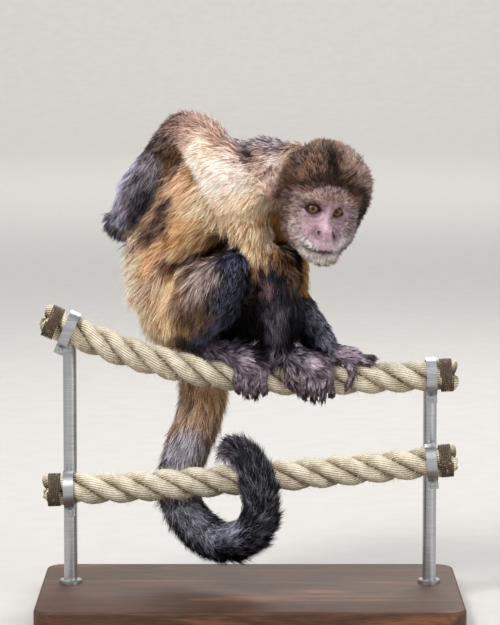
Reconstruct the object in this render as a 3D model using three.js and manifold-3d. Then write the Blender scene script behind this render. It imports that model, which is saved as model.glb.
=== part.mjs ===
// A brown capuchin monkey at life size, squatting on the upper of two fibre ropes with its tail round the
// lower one, its right hand scratching its back. The ropes are short cut lengths held by a display stand.
// Millimetres, +Z up. X runs along the ropes, -Y is the side that the face turns to, and the origin is the
// middle of the underside of the stand. Each solid reaches out to the tips of the coat.
import * as THREE from 'three';
import Module from 'manifold-3d';
import { mergeVertices } from 'three/addons/utils/BufferGeometryUtils.js';

const wasm = await Module();
wasm.setup();

const V = (x, y, z) => new THREE.Vector3(x, y, z);
const { degToRad, lerp } = THREE.MathUtils;

// ---- Driving dimensions ------------------------------------------------------------------------------

const GAP = 0.35;                 // clearance between two pieces that meet
const ROPE_RADIUS = 14;
const ROPE_LAY = 76;              // length in which a strand goes once round the rope
const ROPE_HALF = 180;            // where the ropes are cut off, left and right of the middle
const UPPER_ROPE_HEIGHTS = [255.2, 225.8, 208.2, 201.4, 203.0, 205.8];
const LOWER_ROPE_HEIGHTS = [103.1, 105.8, 110.6, 116.4, 123.0, 130.0];

const BASE = { width: 372, depth: 236, height: 16, corner: 18, bevel: 2 };
const POST = { radius: 6, x: 160, bandWidth: 9, bandWall: 2.2, bandSides: 12 };

// Joints of the body. The trunk faces 30 degrees off the ropes' direction, towards -Y.
const RIGHT = { shoulder: V(-6, -36, 366), elbow: V(-54, -5, 426), wrist: V(-107, 14, 350),
  hip: V(-55, 12, 256), knee: V(-14, -68, 309), ankle: V(-47, -6, 240) };
const LEFT = { shoulder: V(31, 20, 353), elbow: V(39, 62, 268), wrist: V(66, -2, 236),
  hip: V(-28, 45, 252), knee: V(24, -38, 309), ankle: V(22, -2, 236) };
const ACROSS = V(0.49, 0.87, 0).normalize();      // from the right side of the trunk to the left

// The head: the root of the nose, and the turn, nod and tilt of the face.
const NOSE_ROOT = V(64.6, -93, 358.4);
const HEAD_TURN = degToRad(11);
const HEAD_NOD = degToRad(13);
const HEAD_TILT = degToRad(8);
const EYE_SPACING = 22.4;
const EYE_RADIUS = 9;

// Digits: length is set by their path, thickness by these.
const FINGER_RADIUS = 3.5;
const TOE_RADIUS = 3.8;

// ---- Geometry helpers --------------------------------------------------------------------------------

// Any three.js geometry as one closed mesh with shared vertices.
function closed(geometry) {
  const bare = new THREE.BufferGeometry();
  bare.setAttribute('position', geometry.getAttribute('position').clone());
  if (geometry.index) bare.setIndex(geometry.index.clone());
  return mergeVertices(bare, 1e-4);
}

function toSolid(geometry) {
  const mesh = closed(geometry);
  const vertProperties = Float32Array.from(mesh.getAttribute('position').array);
  const triVerts = Uint32Array.from(mesh.index.array);
  return new wasm.Manifold(new wasm.Mesh({ numProp: 3, vertProperties, triVerts }));
}

function toGeometry(solid) {
  const mesh = solid.getMesh();
  const geometry = new THREE.BufferGeometry();
  geometry.setAttribute('position', new THREE.BufferAttribute(Float32Array.from(mesh.vertProperties), 3));
  geometry.setIndex(new THREE.BufferAttribute(Uint32Array.from(mesh.triVerts), 1));
  return geometry;
}

// Moves every vertex of a closed geometry to place(vertex).
function reshape(geometry, place) {
  const mesh = closed(geometry);
  const position = mesh.getAttribute('position');
  const vertex = new THREE.Vector3();
  for (let i = 0; i < position.count; i += 1) {
    vertex.fromBufferAttribute(position, i);
    const moved = place(vertex);
    position.setXYZ(i, moved.x, moved.y, moved.z);
  }
  return mesh;
}

// A round-ended limb: a sphere drawn out along a curve. Stations are [point, width, depth], the half sizes
// along the side direction and square to it. On a rope, depth points away from the rope instead. from and
// to take a stretch of the curve.
function limb({ stations, side, onto, from = 0, to = 1, rings = 4, sides = 10, capRows = 2, dome = 1 }) {
  const path = new THREE.CatmullRomCurve3(stations.map(([point]) => point), false, 'centripetal');
  const sizes = new THREE.CatmullRomCurve3(stations.map(([, width, depth]) => V(width, depth ?? width, 0)));
  const frameSteps = 80;
  const frames = path.computeFrenetFrames(frameSteps, false);
  const rows = rings + 2 * capRows;
  return (grow) => reshape(new THREE.SphereGeometry(1, sides, rows), (vertex) => {
    const row = Math.round(Math.acos(THREE.MathUtils.clamp(vertex.y, -1, 1)) / Math.PI * rows);
    const around = Math.atan2(vertex.z, vertex.x);
    const startCap = Math.min(row / capRows, 1);
    const endCap = Math.min((rows - row) / capRows, 1);
    const cap = Math.min(startCap, endCap);
    const spread = Math.sin(cap * Math.PI / 2);
    const along = lerp(from, to, THREE.MathUtils.clamp((row - capRows) / rings, 0, 1));
    const t = path.getUtoTmapping(along);
    const size = sizes.getPoint(t);
    const tangent = path.getTangentAt(along);
    const point = path.getPointAt(along);
    let across = (side ?? frames.normals[Math.round(along * frameSteps)]).clone();
    if (onto) across = awayFrom(onto, point).cross(tangent);
    across.addScaledVector(tangent, -across.dot(tangent)).normalize();
    const out = tangent.clone().cross(across);
    const end = startCap < 1 ? -1 : 1;
    const push = end * Math.cos(cap * Math.PI / 2) * (Math.min(size.x, size.y) * dome + grow);
    return point
      .addScaledVector(tangent, cap < 1 ? push : 0)
      .addScaledVector(across, Math.cos(around) * spread * (size.x + grow))
      .addScaledVector(out, Math.sin(around) * spread * (size.y + grow));
  });
}

// Roughly how far a point is outside an ellipsoid.
function ellipsoid(point, [cx, cy, cz], [rx, ry, rz]) {
  const x = (point.x - cx) / rx;
  const y = (point.y - cy) / ry;
  const z = (point.z - cz) / rz;
  const k = Math.hypot(x, y, z);
  return k * (k - 1) / Math.max(Math.hypot(x / rx, y / ry, z / rz), 1e-6);
}

// Joins two distances with a fillet of about the given radius.
function blend(a, b, radius) {
  const h = Math.max(radius - Math.abs(a - b), 0) / radius;
  return Math.min(a, b) - h * h * radius / 4;
}

// A closed form from a distance function: each vertex of a ball goes out from centre until it meets it.
// The rays are drawn together towards +z, so that the facets are finer there.
function form(distance, centre, detail, reach) {
  const drawn = 0.5;
  const halvings = 24;
  return (grow) => reshape(new THREE.IcosahedronGeometry(1, detail), (vertex) => {
    const ray = V(vertex.x, vertex.y, vertex.z + drawn).normalize();
    let near = 0;
    let far = reach;
    for (let i = 0; i < halvings; i += 1) {
      const middle = (near + far) / 2;
      if (distance(centre.clone().addScaledVector(ray, middle)) < 0) near = middle;
      else far = middle;
    }
    return centre.clone().addScaledVector(ray, near + grow);
  });
}

// ---- Ropes -------------------------------------------------------------------------------------------

// Left-handed copy, so that the facets' diagonals run with the strands.
function mirrored(geometry) {
  const copy = closed(geometry.scale(-1, 1, 1));
  for (let i = 0; i < copy.index.count; i += 3) {
    const first = copy.index.getX(i);
    copy.index.setX(i, copy.index.getX(i + 1));
    copy.index.setX(i + 1, first);
  }
  return copy;
}

function ropeCurve(heights) {
  const step = 2 * ROPE_HALF / (heights.length - 1);
  const points = heights.map((z, i) => V(i * step - ROPE_HALF, 0, z));
  return new THREE.CatmullRomCurve3(points, false, 'catmullrom');
}

const upperRope = ropeCurve(UPPER_ROPE_HEIGHTS);
const lowerRope = ropeCurve(LOWER_ROPE_HEIGHTS);

// Three strands laid up right over left: a three-lobed section that turns once in each lay.
function ropeSolid(curve) {
  const rows = 28;
  const sides = 9;
  const lobe = 0.07;
  const length = curve.getLength();
  const blank = mirrored(new THREE.CylinderGeometry(1, 1, 1, sides, rows, false));
  return () => reshape(blank, (vertex) => {
    const along = vertex.y + 0.5;
    const radius = Math.hypot(vertex.x, vertex.z);
    const tangent = curve.getTangentAt(along);
    const up = V(-tangent.z, 0, tangent.x);
    const around = Math.atan2(vertex.z, vertex.x) - 2 * Math.PI * along * length / ROPE_LAY;
    const lobed = ROPE_RADIUS * radius * (1 - lobe + lobe * Math.cos(3 * Math.atan2(vertex.z, vertex.x)));
    return curve.getPointAt(along)
      .addScaledVector(V(0, -1, 0), lobed * Math.cos(around))
      .addScaledVector(up, lobed * Math.sin(around));
  });
}

// The smooth tube, wider and longer than the rope by extra, that pieces on the rope are cut to.
function ropeRoom(curve, extra) {
  return reshape(new THREE.CylinderGeometry(1, 1, 1, 20, 12, false), (vertex) => {
    const along = vertex.y + 0.5;
    const tangent = curve.getTangentAt(along);
    const radius = ROPE_RADIUS + extra;
    return curve.getPointAt(along)
      .addScaledVector(tangent, Math.trunc(2 * vertex.y) * extra)
      .addScaledVector(V(0, -1, 0), radius * vertex.x)
      .addScaledVector(V(-tangent.z, 0, tangent.x), radius * vertex.z);
  });
}

// The point at x along a rope, turned by angle degrees from its top towards -Y, lift above its surface.
function onRope(curve, x, angle, lift) {
  const along = (x + ROPE_HALF) / (2 * ROPE_HALF);
  const centre = curve.getPoint(along);
  const tangent = curve.getTangent(along);
  const reach = ROPE_RADIUS + lift;
  return centre
    .addScaledVector(V(-tangent.z, 0, tangent.x), reach * Math.cos(degToRad(angle)))
    .addScaledVector(V(0, -1, 0), reach * Math.sin(degToRad(angle)));
}

// The direction from a rope's middle line to a point beside it.
function awayFrom(curve, point) {
  const centre = curve.getPoint((point.x + ROPE_HALF) / (2 * ROPE_HALF));
  return point.clone().sub(centre).normalize();
}

// ---- Head --------------------------------------------------------------------------------------------

// Head frame: x to the monkey's left, y up, z out of the face, with its zero at the root of the nose.
const headTurn = new THREE.Quaternion()
  .setFromAxisAngle(V(0, 0, 1), HEAD_TURN)
  .multiply(new THREE.Quaternion().setFromAxisAngle(V(1, 0, 0), HEAD_NOD))
  .multiply(new THREE.Quaternion().setFromAxisAngle(V(0, 1, 0), HEAD_TILT));
const headMatrix = new THREE.Matrix4().makeBasis(
  V(1, 0, 0).applyQuaternion(headTurn), V(0, 0, 1).applyQuaternion(headTurn),
  V(0, -1, 0).applyQuaternion(headTurn)).setPosition(NOSE_ROOT);

const inHead = (make) => (grow) => make(grow).applyMatrix4(headMatrix);
const MIDLINE = 1.9;              // the paired forms of the face lie on either side of this x
const eyeCentre = (left) => V(MIDLINE + left * EYE_SPACING / 2, -3.1, -8.8);

// The forms of the head with its coat, as centre, half sizes and fillet to the ones before. A pair has one
// form on each side of the midline, and its x counts from there.
const HEAD_FORMS = {
  skull: { centre: [3, 16, -36], size: [37, 35, 42], fillet: 16 },
  ruffLeft: { centre: [21.5, 5, -27], size: [20, 30, 21], fillet: 16 },
  ruffRight: { centre: [-13, 3, -26], size: [19, 30, 21], fillet: 16 },
  jaw: { centre: [13.1, -22, -18], size: [19, 21, 19], fillet: 12, pair: true },
  face: { centre: [0, -6, -17], size: [30, 27, 15], fillet: 9 },
  brow: { centre: [10, 10, -5], size: [12, 5, 6.5], fillet: 6, pair: true },
  muzzle: { centre: [1, -23, -4], size: [17, 13, 15], fillet: 8 },
  lips: { centre: [1.5, -28, 4], size: [13.5, 9.5, 11.5], fillet: 6 },
  noseBridge: { centre: [1, -9, 0], size: [5, 13, 5.5], fillet: 4 },
  nostril: { centre: [5.6, -19.5, 9.5], size: [4.4, 3.6, 4.6], fillet: 3, pair: true },
  chin: { centre: [2.5, -40.5, -3], size: [16, 9.5, 14], fillet: 7 },
};
const EYE_HOLLOW = { centre: [EYE_SPACING / 2, -2.8, 5.5], size: [9.5, 6.5, 8], fillet: 2 };

function headDistance(point) {
  const mirrored = V(Math.abs(point.x - MIDLINE), point.y, point.z);
  let distance = Infinity;
  for (const { centre, size, fillet, pair } of Object.values(HEAD_FORMS)) {
    const outside = ellipsoid(pair ? mirrored : point, centre, size);
    distance = distance === Infinity ? outside : blend(distance, outside, fillet);
  }
  return -blend(-distance, ellipsoid(mirrored, EYE_HOLLOW.centre, EYE_HOLLOW.size), EYE_HOLLOW.fillet);
}

// An ear: a thin round shell, dished towards the front, that stands out from the side of the head.
function ear(left) {
  const size = { width: 11, height: 15, thick: 2.6, dish: 5 };
  const turn = new THREE.Euler(degToRad(-8), degToRad(left * 52), degToRad(left * -14), 'YXZ');
  const seat = new THREE.Matrix4().makeRotationFromEuler(turn).setPosition(left * 40, 6, -44);
  return inHead((grow) => reshape(new THREE.SphereGeometry(1, 12, 6), (vertex) => {
    const rim = vertex.x * vertex.x + vertex.z * vertex.z;
    return V((size.width + grow) * vertex.x, (size.height + grow) * vertex.z * (1 - 0.12 * vertex.z),
      -(size.thick * (1.15 - 0.35 * rim) + grow) * vertex.y + size.dish * (rim - 0.5)).applyMatrix4(seat);
  }));
}

// ---- Pieces, in the order in which they keep their shape: a later piece is cut to clear the earlier ones

const skinDark = { color: 0x3b3437, roughness: 0.8 };
const coats = {
  crown: { color: 0x6b5240, roughness: 0.95 },
  gold: { color: 0xc08a4a, roughness: 0.95 },
  cream: { color: 0xd9b98a, roughness: 0.95 },
  flank: { color: 0xa5713c, roughness: 0.95 },
  thigh: { color: 0x6a5a4c, roughness: 0.95 },
  black: { color: 0x2a2a30, roughness: 0.95 },
};
const rope = { color: 0xb5a68a, roughness: 1 };
const steel = { color: 0x9a9da0, roughness: 0.35, metalness: 1 };
const pieces = [];

function piece(name, finish, make, options = {}) {
  pieces.push({ name, finish, make, ...options });
}

piece('rope_upper', rope, ropeSolid(upperRope), { room: ropeRoom(upperRope, GAP) });
piece('rope_lower', rope, ropeSolid(lowerRope), { room: ropeRoom(lowerRope, GAP) });

// Base: a flat plate with rounded corners and bevelled edges.
function basePlate() {
  const { width, depth, height, corner, bevel } = BASE;
  const centre = { x: width / 2 - corner, y: depth / 2 - corner };
  const outline = new THREE.Shape();
  [[1, 1], [-1, 1], [-1, -1], [1, -1]].forEach(([x, y], i) => {
    outline.absarc(x * centre.x, y * centre.y, corner - bevel, i * Math.PI / 2, (i + 1) * Math.PI / 2);
  });
  return new THREE.ExtrudeGeometry(outline, { depth: height - 2 * bevel, bevelThickness: bevel,
    bevelSize: bevel, bevelSegments: 1, curveSegments: 2 }).translate(0, 0, bevel);
}
piece('stand_base', { color: 0x4a3427, roughness: 0.5 }, basePlate, { fixed: true });

// Posts: a rod behind the ropes at -X (left) and +X (right), with a steel band round each rope.
function post(x) {
  return () => {
    const inner = (ROPE_RADIUS + GAP) / Math.cos(Math.PI / POST.bandSides);
    const outer = inner + POST.bandWall;
    const half = POST.bandWidth / 2;
    const back = outer + POST.radius - 1.2;
    const top = onRope(upperRope, x, 0, 0).z + 8;
    const bottom = BASE.height + GAP;
    let solid = toSolid(new THREE.CylinderGeometry(POST.radius, POST.radius, top - bottom, 12)
      .rotateX(Math.PI / 2).translate(x, back, (top + bottom) / 2));
    for (const curve of [upperRope, lowerRope]) {
      const along = (x + ROPE_HALF) / (2 * ROPE_HALF);
      const centre = curve.getPoint(along);
      const profile = [[inner, -half], [outer, -half], [outer, half], [inner, half], [inner, -half]];
      const band = new THREE.LatheGeometry(profile.map(([r, h]) => new THREE.Vector2(r, h)), POST.bandSides)
        .applyQuaternion(new THREE.Quaternion().setFromUnitVectors(V(0, 1, 0), curve.getTangent(along)))
        .translate(centre.x, centre.y, centre.z);
      solid = solid.add(toSolid(band));
    }
    return toGeometry(solid);
  };
}
piece('stand_post_left', steel, post(-POST.x), { fixed: true });
piece('stand_post_right', steel, post(POST.x), { fixed: true });

// Trunk: one loft along the spine, parted at the waist, and the neck.
const spine = {
  stations: [[V(-41, 32, 236), 26, 27], [V(-52, 36, 258), 41, 39], [V(-65, 35, 290), 43, 42],
    [V(-57, 24, 328), 45, 43], [V(-38, 8, 358), 46, 44], [V(-14, -9, 380), 43, 41], [V(2, -16, 388), 36, 35]],
  side: ACROSS, sides: 12, rings: 5,
};
const chest = limb({ ...spine, from: 0.5, to: 1, dome: 0.6 });
const breast = limb({ side: ACROSS, rings: 3, sides: 9,
  stations: [[V(-14, -16, 362), 34, 30], [V(2, -36, 340), 30, 22], [V(9, -46, 318), 18, 11]] });
piece('trunk_chest', coats.gold, (grow) => toGeometry(toSolid(chest(grow)).add(toSolid(breast(grow)))));
piece('trunk_loin', coats.flank, limb({ ...spine, from: 0, to: 0.5, dome: 0.5 }));
piece('neck', coats.crown, limb({ side: ACROSS, sides: 12, rings: 3, dome: 0.5,
  stations: [[V(6, -20, 388), 30, 35], [V(30, -38, 386), 23, 33], [V(50, -56, 384), 22, 32]] }));

// Eyes, then the head that holds them.
for (const [name, left] of [['eye_right', -1], ['eye_left', 1]]) {
  piece(name, { color: 0x6b3f1c, roughness: 0.1 }, inHead((grow) => {
    const centre = eyeCentre(left);
    return closed(new THREE.SphereGeometry(EYE_RADIUS + grow, 10, 6)).rotateX(Math.PI / 2)
      .translate(centre.x, centre.y, centre.z);
  }));
}
piece('head', coats.crown, inHead(form(headDistance, V(0, -4, -30), 6, 95)));
piece('ear_right', { color: 0xb08d80, roughness: 0.8 }, ear(-1));
piece('ear_left', { color: 0xb08d80, roughness: 0.8 }, ear(1));

// Arms
piece('upper_arm_right', coats.cream, limb({
  stations: [[RIGHT.shoulder, 30], [V(-10, -38, 376), 30], [V(-32, -24, 404), 24], [RIGHT.elbow, 16]] }));
piece('forearm_right', coats.black, limb({
  stations: [[RIGHT.elbow, 16], [V(-80, 4, 392), 21.5], [V(-98, 10, 368), 21], [RIGHT.wrist, 17]] }));
piece('upper_arm_left', coats.gold, limb({
  stations: [[LEFT.shoulder, 30], [V(35, 38, 318), 19], [LEFT.elbow, 14]] }));
piece('forearm_left', coats.black, limb({
  stations: [[LEFT.elbow, 13.5], [V(51, 34, 252), 14.5], [LEFT.wrist, 10.5]] }));

// Legs
piece('thigh_right', coats.thigh, limb({
  stations: [[RIGHT.hip, 31], [V(-36, -26, 284), 30], [RIGHT.knee, 20]] }));
piece('thigh_left', coats.thigh, limb({
  stations: [[LEFT.hip, 31], [V(-2, 6, 280), 28], [LEFT.knee, 18]] }));
piece('shin_right', coats.black, limb({
  stations: [[RIGHT.knee, 19], [V(-25, -44, 281), 22], [RIGHT.ankle, 12]] }));
piece('shin_left', coats.black, limb({
  stations: [[LEFT.knee, 17], [V(23, -24, 276), 18], [LEFT.ankle, 12]] }));

// Tail: one loft parted into seven lengths
const tail = {
  stations: [[V(-42, 40, 232), 22], [V(-41.5, 44, 201), 24], [V(-44, 43, 170), 24], [V(-53, 40, 144), 23],
    [V(-61, 37, 118), 22], [V(-62, 29, 95), 21.5], [V(-52, 9, 75), 21], [V(-30, -15, 62), 20.5],
    [V(-5, -32, 65), 20.5], [V(7.5, -36, 85), 20], [V(8, -36.5, 108), 19], [V(3, -33, 128), 17],
    [V(-7, -18, 141), 14.5], [V(-17, -2, 142), 12], [V(-25, 12, 134), 8]],
  rings: 3, sides: 9,
};
const TAIL_LENGTHS = 7;
for (let i = 0; i < TAIL_LENGTHS; i += 1) {
  const tone = i < 2 ? coats.flank : coats.black;
  piece(`tail_${i + 1}`, tone, limb({ ...tail, from: i / TAIL_LENGTHS, to: (i + 1) / TAIL_LENGTHS }));
}

// Feet on the upper rope: heel to ball across the top, then the toes round the near side.
function palm(name, rings, list) {
  const stations = list.map(([x, angle, lift, width, depth]) =>
    [onRope(upperRope, x, angle, lift), width, depth]);
  piece(name, skinDark, limb({ stations, onto: upperRope, sides: 8, rings }));
}
palm('foot_right', 4, [[-57, -22, 8, 9, 9], [-32, 6, 8.5, 9.5, 8], [-8, 34, 7.5, 13, 7.5],
  [0, 52, 6.5, 13, 6.5]]);
palm('foot_left', 4, [[14, -30, 8, 9, 9], [34, 6, 8.5, 9.5, 8], [54, 36, 7.5, 12, 7.5],
  [62, 52, 6.5, 12, 6.5]]);

// A finger or toe: it tapers to its tip.
function digit(name, radius, list) {
  const stations = list.map((place, i) => [place, radius * (1 - 0.07 * i)]);
  piece(name, skinDark, limb({ stations, rings: 2, sides: 6 }));
}

// A digit that bends round the upper rope, given as [x, angle] from its root to its tip.
const digitOnRope = (name, radius, list) => digit(name, radius,
  list.map(([x, angle]) => onRope(upperRope, x, angle, radius + 0.8)));

// Toes 2 to 5 hang side by side over the near side of the rope; the first toe lies apart from them.
const TOE_STEP = 2 * TOE_RADIUS + GAP;
for (let i = 0; i < 4; i += 1) {
  const rightTip = 132 - 5 * Math.abs(i - 1.5);
  const leftTip = 142 - 6 * Math.abs(i - 1);
  const step = i * TOE_STEP;
  digitOnRope(`toe_right_${i + 2}`, TOE_RADIUS,
    [[step - 11, 56], [step - 12, 78], [step - 12, 104], [step - 10, rightTip]]);
  digitOnRope(`toe_left_${i + 2}`, TOE_RADIUS,
    [[step + 46, 56], [step + 46, 80], [step + 47, 108], [step + 48, leftTip]]);
}
digitOnRope('toe_right_1', TOE_RADIUS, [[-22, -22], [-8, -14], [6, 2], [15, 16]]);
digitOnRope('toe_left_1', TOE_RADIUS, [[33, 34], [31, 62], [36, 96], [47, 118]]);

// Left hand beside the left foot: one finger hangs over the near side, the others lie along the rope,
// and the thumb goes down its far side.
palm('hand_left', 3, [[70, -4, 12, 9, 9], [79, 2, 8.5, 12, 8], [89, 6, 7, 13, 7]]);
const LEFT_FINGERS = [
  [[76, -30], [77, -52], [80, -76], [84, -98]],
  [[87, 34], [90, 54], [90, 80], [85, 104]],
  [[90, 14], [96, 22], [101, 27], [105, 38]],
  [[91, -8], [98, -3], [103, 1], [107, 10]],
  [[89, -30], [95, -28], [101, -30], [105, -36]],
];
LEFT_FINGERS.forEach((list, i) => digitOnRope(`finger_left_${i + 1}`, FINGER_RADIUS, list));

// Right hand: palm turned to the back, fingers bent round on to the coat of the waist.
piece('hand_right', skinDark, limb({ rings: 3, side: V(0, 0, 1),
  stations: [[RIGHT.wrist, 11, 13], [V(-112, 24, 343), 9, 14], [V(-110, 36, 335), 8, 15]] }));
for (let i = 0; i < 4; i += 1) {
  const rise = 11 - 7.4 * i;
  digit(`finger_right_${i + 2}`, FINGER_RADIUS, [V(-109, 38, 334 + rise), V(-105, 50, 331 + rise),
    V(-96, 60, 329 + 0.9 * rise), V(-86, 62 - Math.abs(i - 1), 328 + 0.8 * rise)]);
}
digit('finger_right_1', FINGER_RADIUS, [V(-108, 18, 336), V(-105, 18, 329), V(-100, 20, 326), V(-94, 24, 326)]);

// ---- Fitting -----------------------------------------------------------------------------------------

// The largest of the bodies that a cut leaves.
function largest(solid) {
  return solid.decompose().reduce((a, b) => (b.volume() > a.volume() ? b : a));
}

function boxesMeet(a, b) {
  return [0, 1, 2].every((i) => a.min[i] <= b.max[i] && b.min[i] <= a.max[i]);
}

const monkey = new THREE.Group();
const rooms = [];
for (const { name, finish, make, room, fixed } of pieces) {
  let solid = toSolid(make(0));
  const box = solid.boundingBox();
  if (!fixed) {
    for (const other of rooms) {
      if (boxesMeet(box, other.boundingBox())) solid = solid.subtract(other);
    }
  }
  solid = largest(solid);
  rooms.push(fixed ? solid : toSolid(room ?? make(GAP)));
  const mesh = new THREE.Mesh(toGeometry(solid), new THREE.MeshStandardMaterial(finish));
  mesh.name = name;
  monkey.add(mesh);
}

export default monkey;
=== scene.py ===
# A brown capuchin monkey at life size, squatting on two hemp ropes on a museum stand. Metres, +Z up.
# X runs along the ropes and -Y is the side that the face turns to.
from collections import namedtuple
from math import cos, pi, radians, sin

import bmesh
import bpy
import numpy as np
from mathutils import Matrix, Vector
from mathutils.bvhtree import BVHTree


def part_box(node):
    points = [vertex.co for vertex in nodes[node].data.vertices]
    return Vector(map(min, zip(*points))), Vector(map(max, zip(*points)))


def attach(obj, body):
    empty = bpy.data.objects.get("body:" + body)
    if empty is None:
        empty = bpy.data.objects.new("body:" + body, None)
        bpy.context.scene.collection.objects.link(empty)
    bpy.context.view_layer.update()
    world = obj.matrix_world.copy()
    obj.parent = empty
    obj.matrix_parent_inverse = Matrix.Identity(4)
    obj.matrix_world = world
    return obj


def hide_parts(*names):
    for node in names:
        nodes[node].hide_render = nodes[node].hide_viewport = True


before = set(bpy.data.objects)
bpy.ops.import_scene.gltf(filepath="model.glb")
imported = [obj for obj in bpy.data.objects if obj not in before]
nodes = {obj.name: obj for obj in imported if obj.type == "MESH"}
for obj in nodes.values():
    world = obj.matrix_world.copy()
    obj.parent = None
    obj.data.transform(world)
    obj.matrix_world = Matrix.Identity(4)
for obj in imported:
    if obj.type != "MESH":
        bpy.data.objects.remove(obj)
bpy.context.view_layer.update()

MM = 0.001


# ---- Camera and studio -------------------------------------------------------------------------------
# The set is a pale sweep of painted board. A large soft lamp stands high on the left, a weaker one
# fills in from the right, one behind lights the rim of the coat, and one lights the far sweep.

def linear(code):
    """An sRGB hex colour as linear red, green, blue and alpha."""
    parts = [int(code[i:i + 2], 16) / 255 for i in (1, 3, 5)]
    return [c / 12.92 if c <= 0.04045 else ((c + 0.055) / 1.055) ** 2.4 for c in parts] + [1.0]


def material(name):
    """A new material, its node tree and its surface shader."""
    made = bpy.data.materials.new(name)
    made.use_nodes = True
    return made, made.node_tree, made.node_tree.nodes["Principled BSDF"]


def connect(tree, socket, value):
    """Sets a socket to a value, or links another socket to it."""
    if isinstance(value, bpy.types.NodeSocket):
        tree.links.new(value, socket)
    else:
        socket.default_value = value


def add(tree, kind, inputs=None, stops=(), **settings):
    """Adds a node with its inputs; stops are a ramp's (position, hex colour)."""
    made = tree.nodes.new("ShaderNode" + kind)
    for key, value in settings.items():
        setattr(made, key, value)
    for key, value in (inputs or {}).items():
        connect(tree, made.inputs[key], value)
    while stops and len(made.color_ramp.elements) < len(stops):
        made.color_ramp.elements.new(0.5)
    for place, (position, code) in enumerate(stops):
        made.color_ramp.elements[place].position = position
        made.color_ramp.elements[place].color = linear(code)
    return made


def finish_shader(tree, shader, **inputs):
    """Sets or links the surface shader's inputs; an underscore stands for a space."""
    for key, value in inputs.items():
        connect(tree, shader.inputs[key.replace("_", " ")], value)


def placed(name, data):
    """A new object in the scene."""
    made = bpy.data.objects.new(name, data)
    bpy.context.scene.collection.objects.link(made)
    return made


def mesh_object(name, vertices, faces, finish):
    """A smooth mesh from vertex and face lists, as an object in the scene."""
    mesh = bpy.data.meshes.new(name)
    mesh.from_pydata([tuple(v) for v in vertices], [], [tuple(f) for f in faces])
    mesh.polygons.foreach_set("use_smooth", [True] * len(mesh.polygons))
    mesh.materials.append(finish)
    return placed(name, mesh)


VIEW_CENTRE = Vector((0, 0, 0.261))
VIEW_DISTANCE = 3.0
VIEW_DOWN = radians(6)
VIEW_HEIGHT = 0.55

camera = placed("camera", bpy.data.cameras.new("camera"))
camera.data.lens = camera.data.sensor_width * VIEW_DISTANCE / VIEW_HEIGHT
camera.location = VIEW_CENTRE + VIEW_DISTANCE * Vector((0, -cos(VIEW_DOWN), sin(VIEW_DOWN)))
camera.rotation_euler = (pi / 2 - VIEW_DOWN, 0, 0)
bpy.context.scene.camera = camera
bpy.context.scene.view_settings.view_transform = "Standard"

# Each lamp's name, place, watts, size and the point it faces.
LAMPS = (("key", (-1.2, -1.6, 2.1), 62, 0.8, VIEW_CENTRE),
         ("fill", (1.9, -1.7, 1.0), 24, 1.6, VIEW_CENTRE),
         ("rim", (0.4, 1.7, 2.1), 44, 1.2, VIEW_CENTRE),
         ("backdrop", (0, 5.0, 4.0), 190, 4.0, (0, 9.0, 1.0)))
for name, place, watts, size, aim in LAMPS:
    lamp = placed(name, bpy.data.lights.new(name, "AREA"))
    lamp.data.energy = watts
    lamp.data.size = size
    lamp.location = place
    lamp.rotation_euler = (Vector(place) - Vector(aim)).to_track_quat("Z", "Y").to_euler()

world = bpy.data.worlds.new("studio")
world.use_nodes = True
ambient = world.node_tree.nodes["Background"]
ambient.inputs["Color"].default_value = linear("#eceef4")
ambient.inputs["Strength"].default_value = 0.92
bpy.context.scene.world = world

# Painted board: matt, with the faint unevenness of a rolled coat about 30 mm across.
board, tree, shader = material("matt_painted_board")
rolled = add(tree, "TexNoise", {"Vector": add(tree, "TexCoord").outputs["Object"], "Scale": 1 / 0.03})
paint = add(tree, "ValToRGB", {"Fac": rolled.outputs["Fac"]}, stops=((0.3, "#b6b3ad"), (0.7, "#bab7b1")))
finish_shader(tree, shader, Roughness=0.9, Base_Color=paint.outputs["Color"])

SWEEP_HALF, SWEEP_BACK, SWEEP_BEND, SWEEP_TOP = 9.0, 7.0, 2.5, 9.0
bend = [(SWEEP_BACK + SWEEP_BEND * sin(a), SWEEP_BEND * (1 - cos(a))) for a in np.linspace(0, pi / 2, 13)]
profile = [(-SWEEP_HALF, 0.0), *bend, (SWEEP_BACK + SWEEP_BEND, SWEEP_TOP)]
sweep = mesh_object("floor", [(x, y, z) for y, z in profile for x in (-SWEEP_HALF, SWEEP_HALF)],
                    [(2 * i, 2 * i + 1, 2 * i + 3, 2 * i + 2) for i in range(len(profile) - 1)], board)


# ---- Ropes -------------------------------------------------------------------------------------------
# Two lengths of three-strand hemp rope, 28 mm thick and laid right-handed. Each strand is a bundle of
# yarns spun the other way. Their ends are whipped with tarred twine, and short fibres stand out.

ROPE_RADIUS = 14 * MM
ROPE_LAY = 76 * MM
ROPE_HALF = 180 * MM
ROPE_ROUTES = {"rope_upper": [255.2, 225.8, 208.2, 201.4, 203.0, 205.8],
               "rope_lower": [103.1, 105.8, 110.6, 116.4, 123.0, 130.0]}
CURVE_STEPS = 2000
STRANDS = 3
STRAND_RADIUS = ROPE_RADIUS / (1 + 2 / 3 ** 0.5)
STRAND_ORBIT = ROPE_RADIUS - STRAND_RADIUS


def unit(vectors):
    """The vectors at length 1."""
    return vectors / np.maximum(np.linalg.norm(vectors, axis=-1, keepdims=True), 1e-12)


def full_turn(count):
    """Even angles round a circle."""
    return np.linspace(0, 2 * pi, count, endpoint=False)


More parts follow.
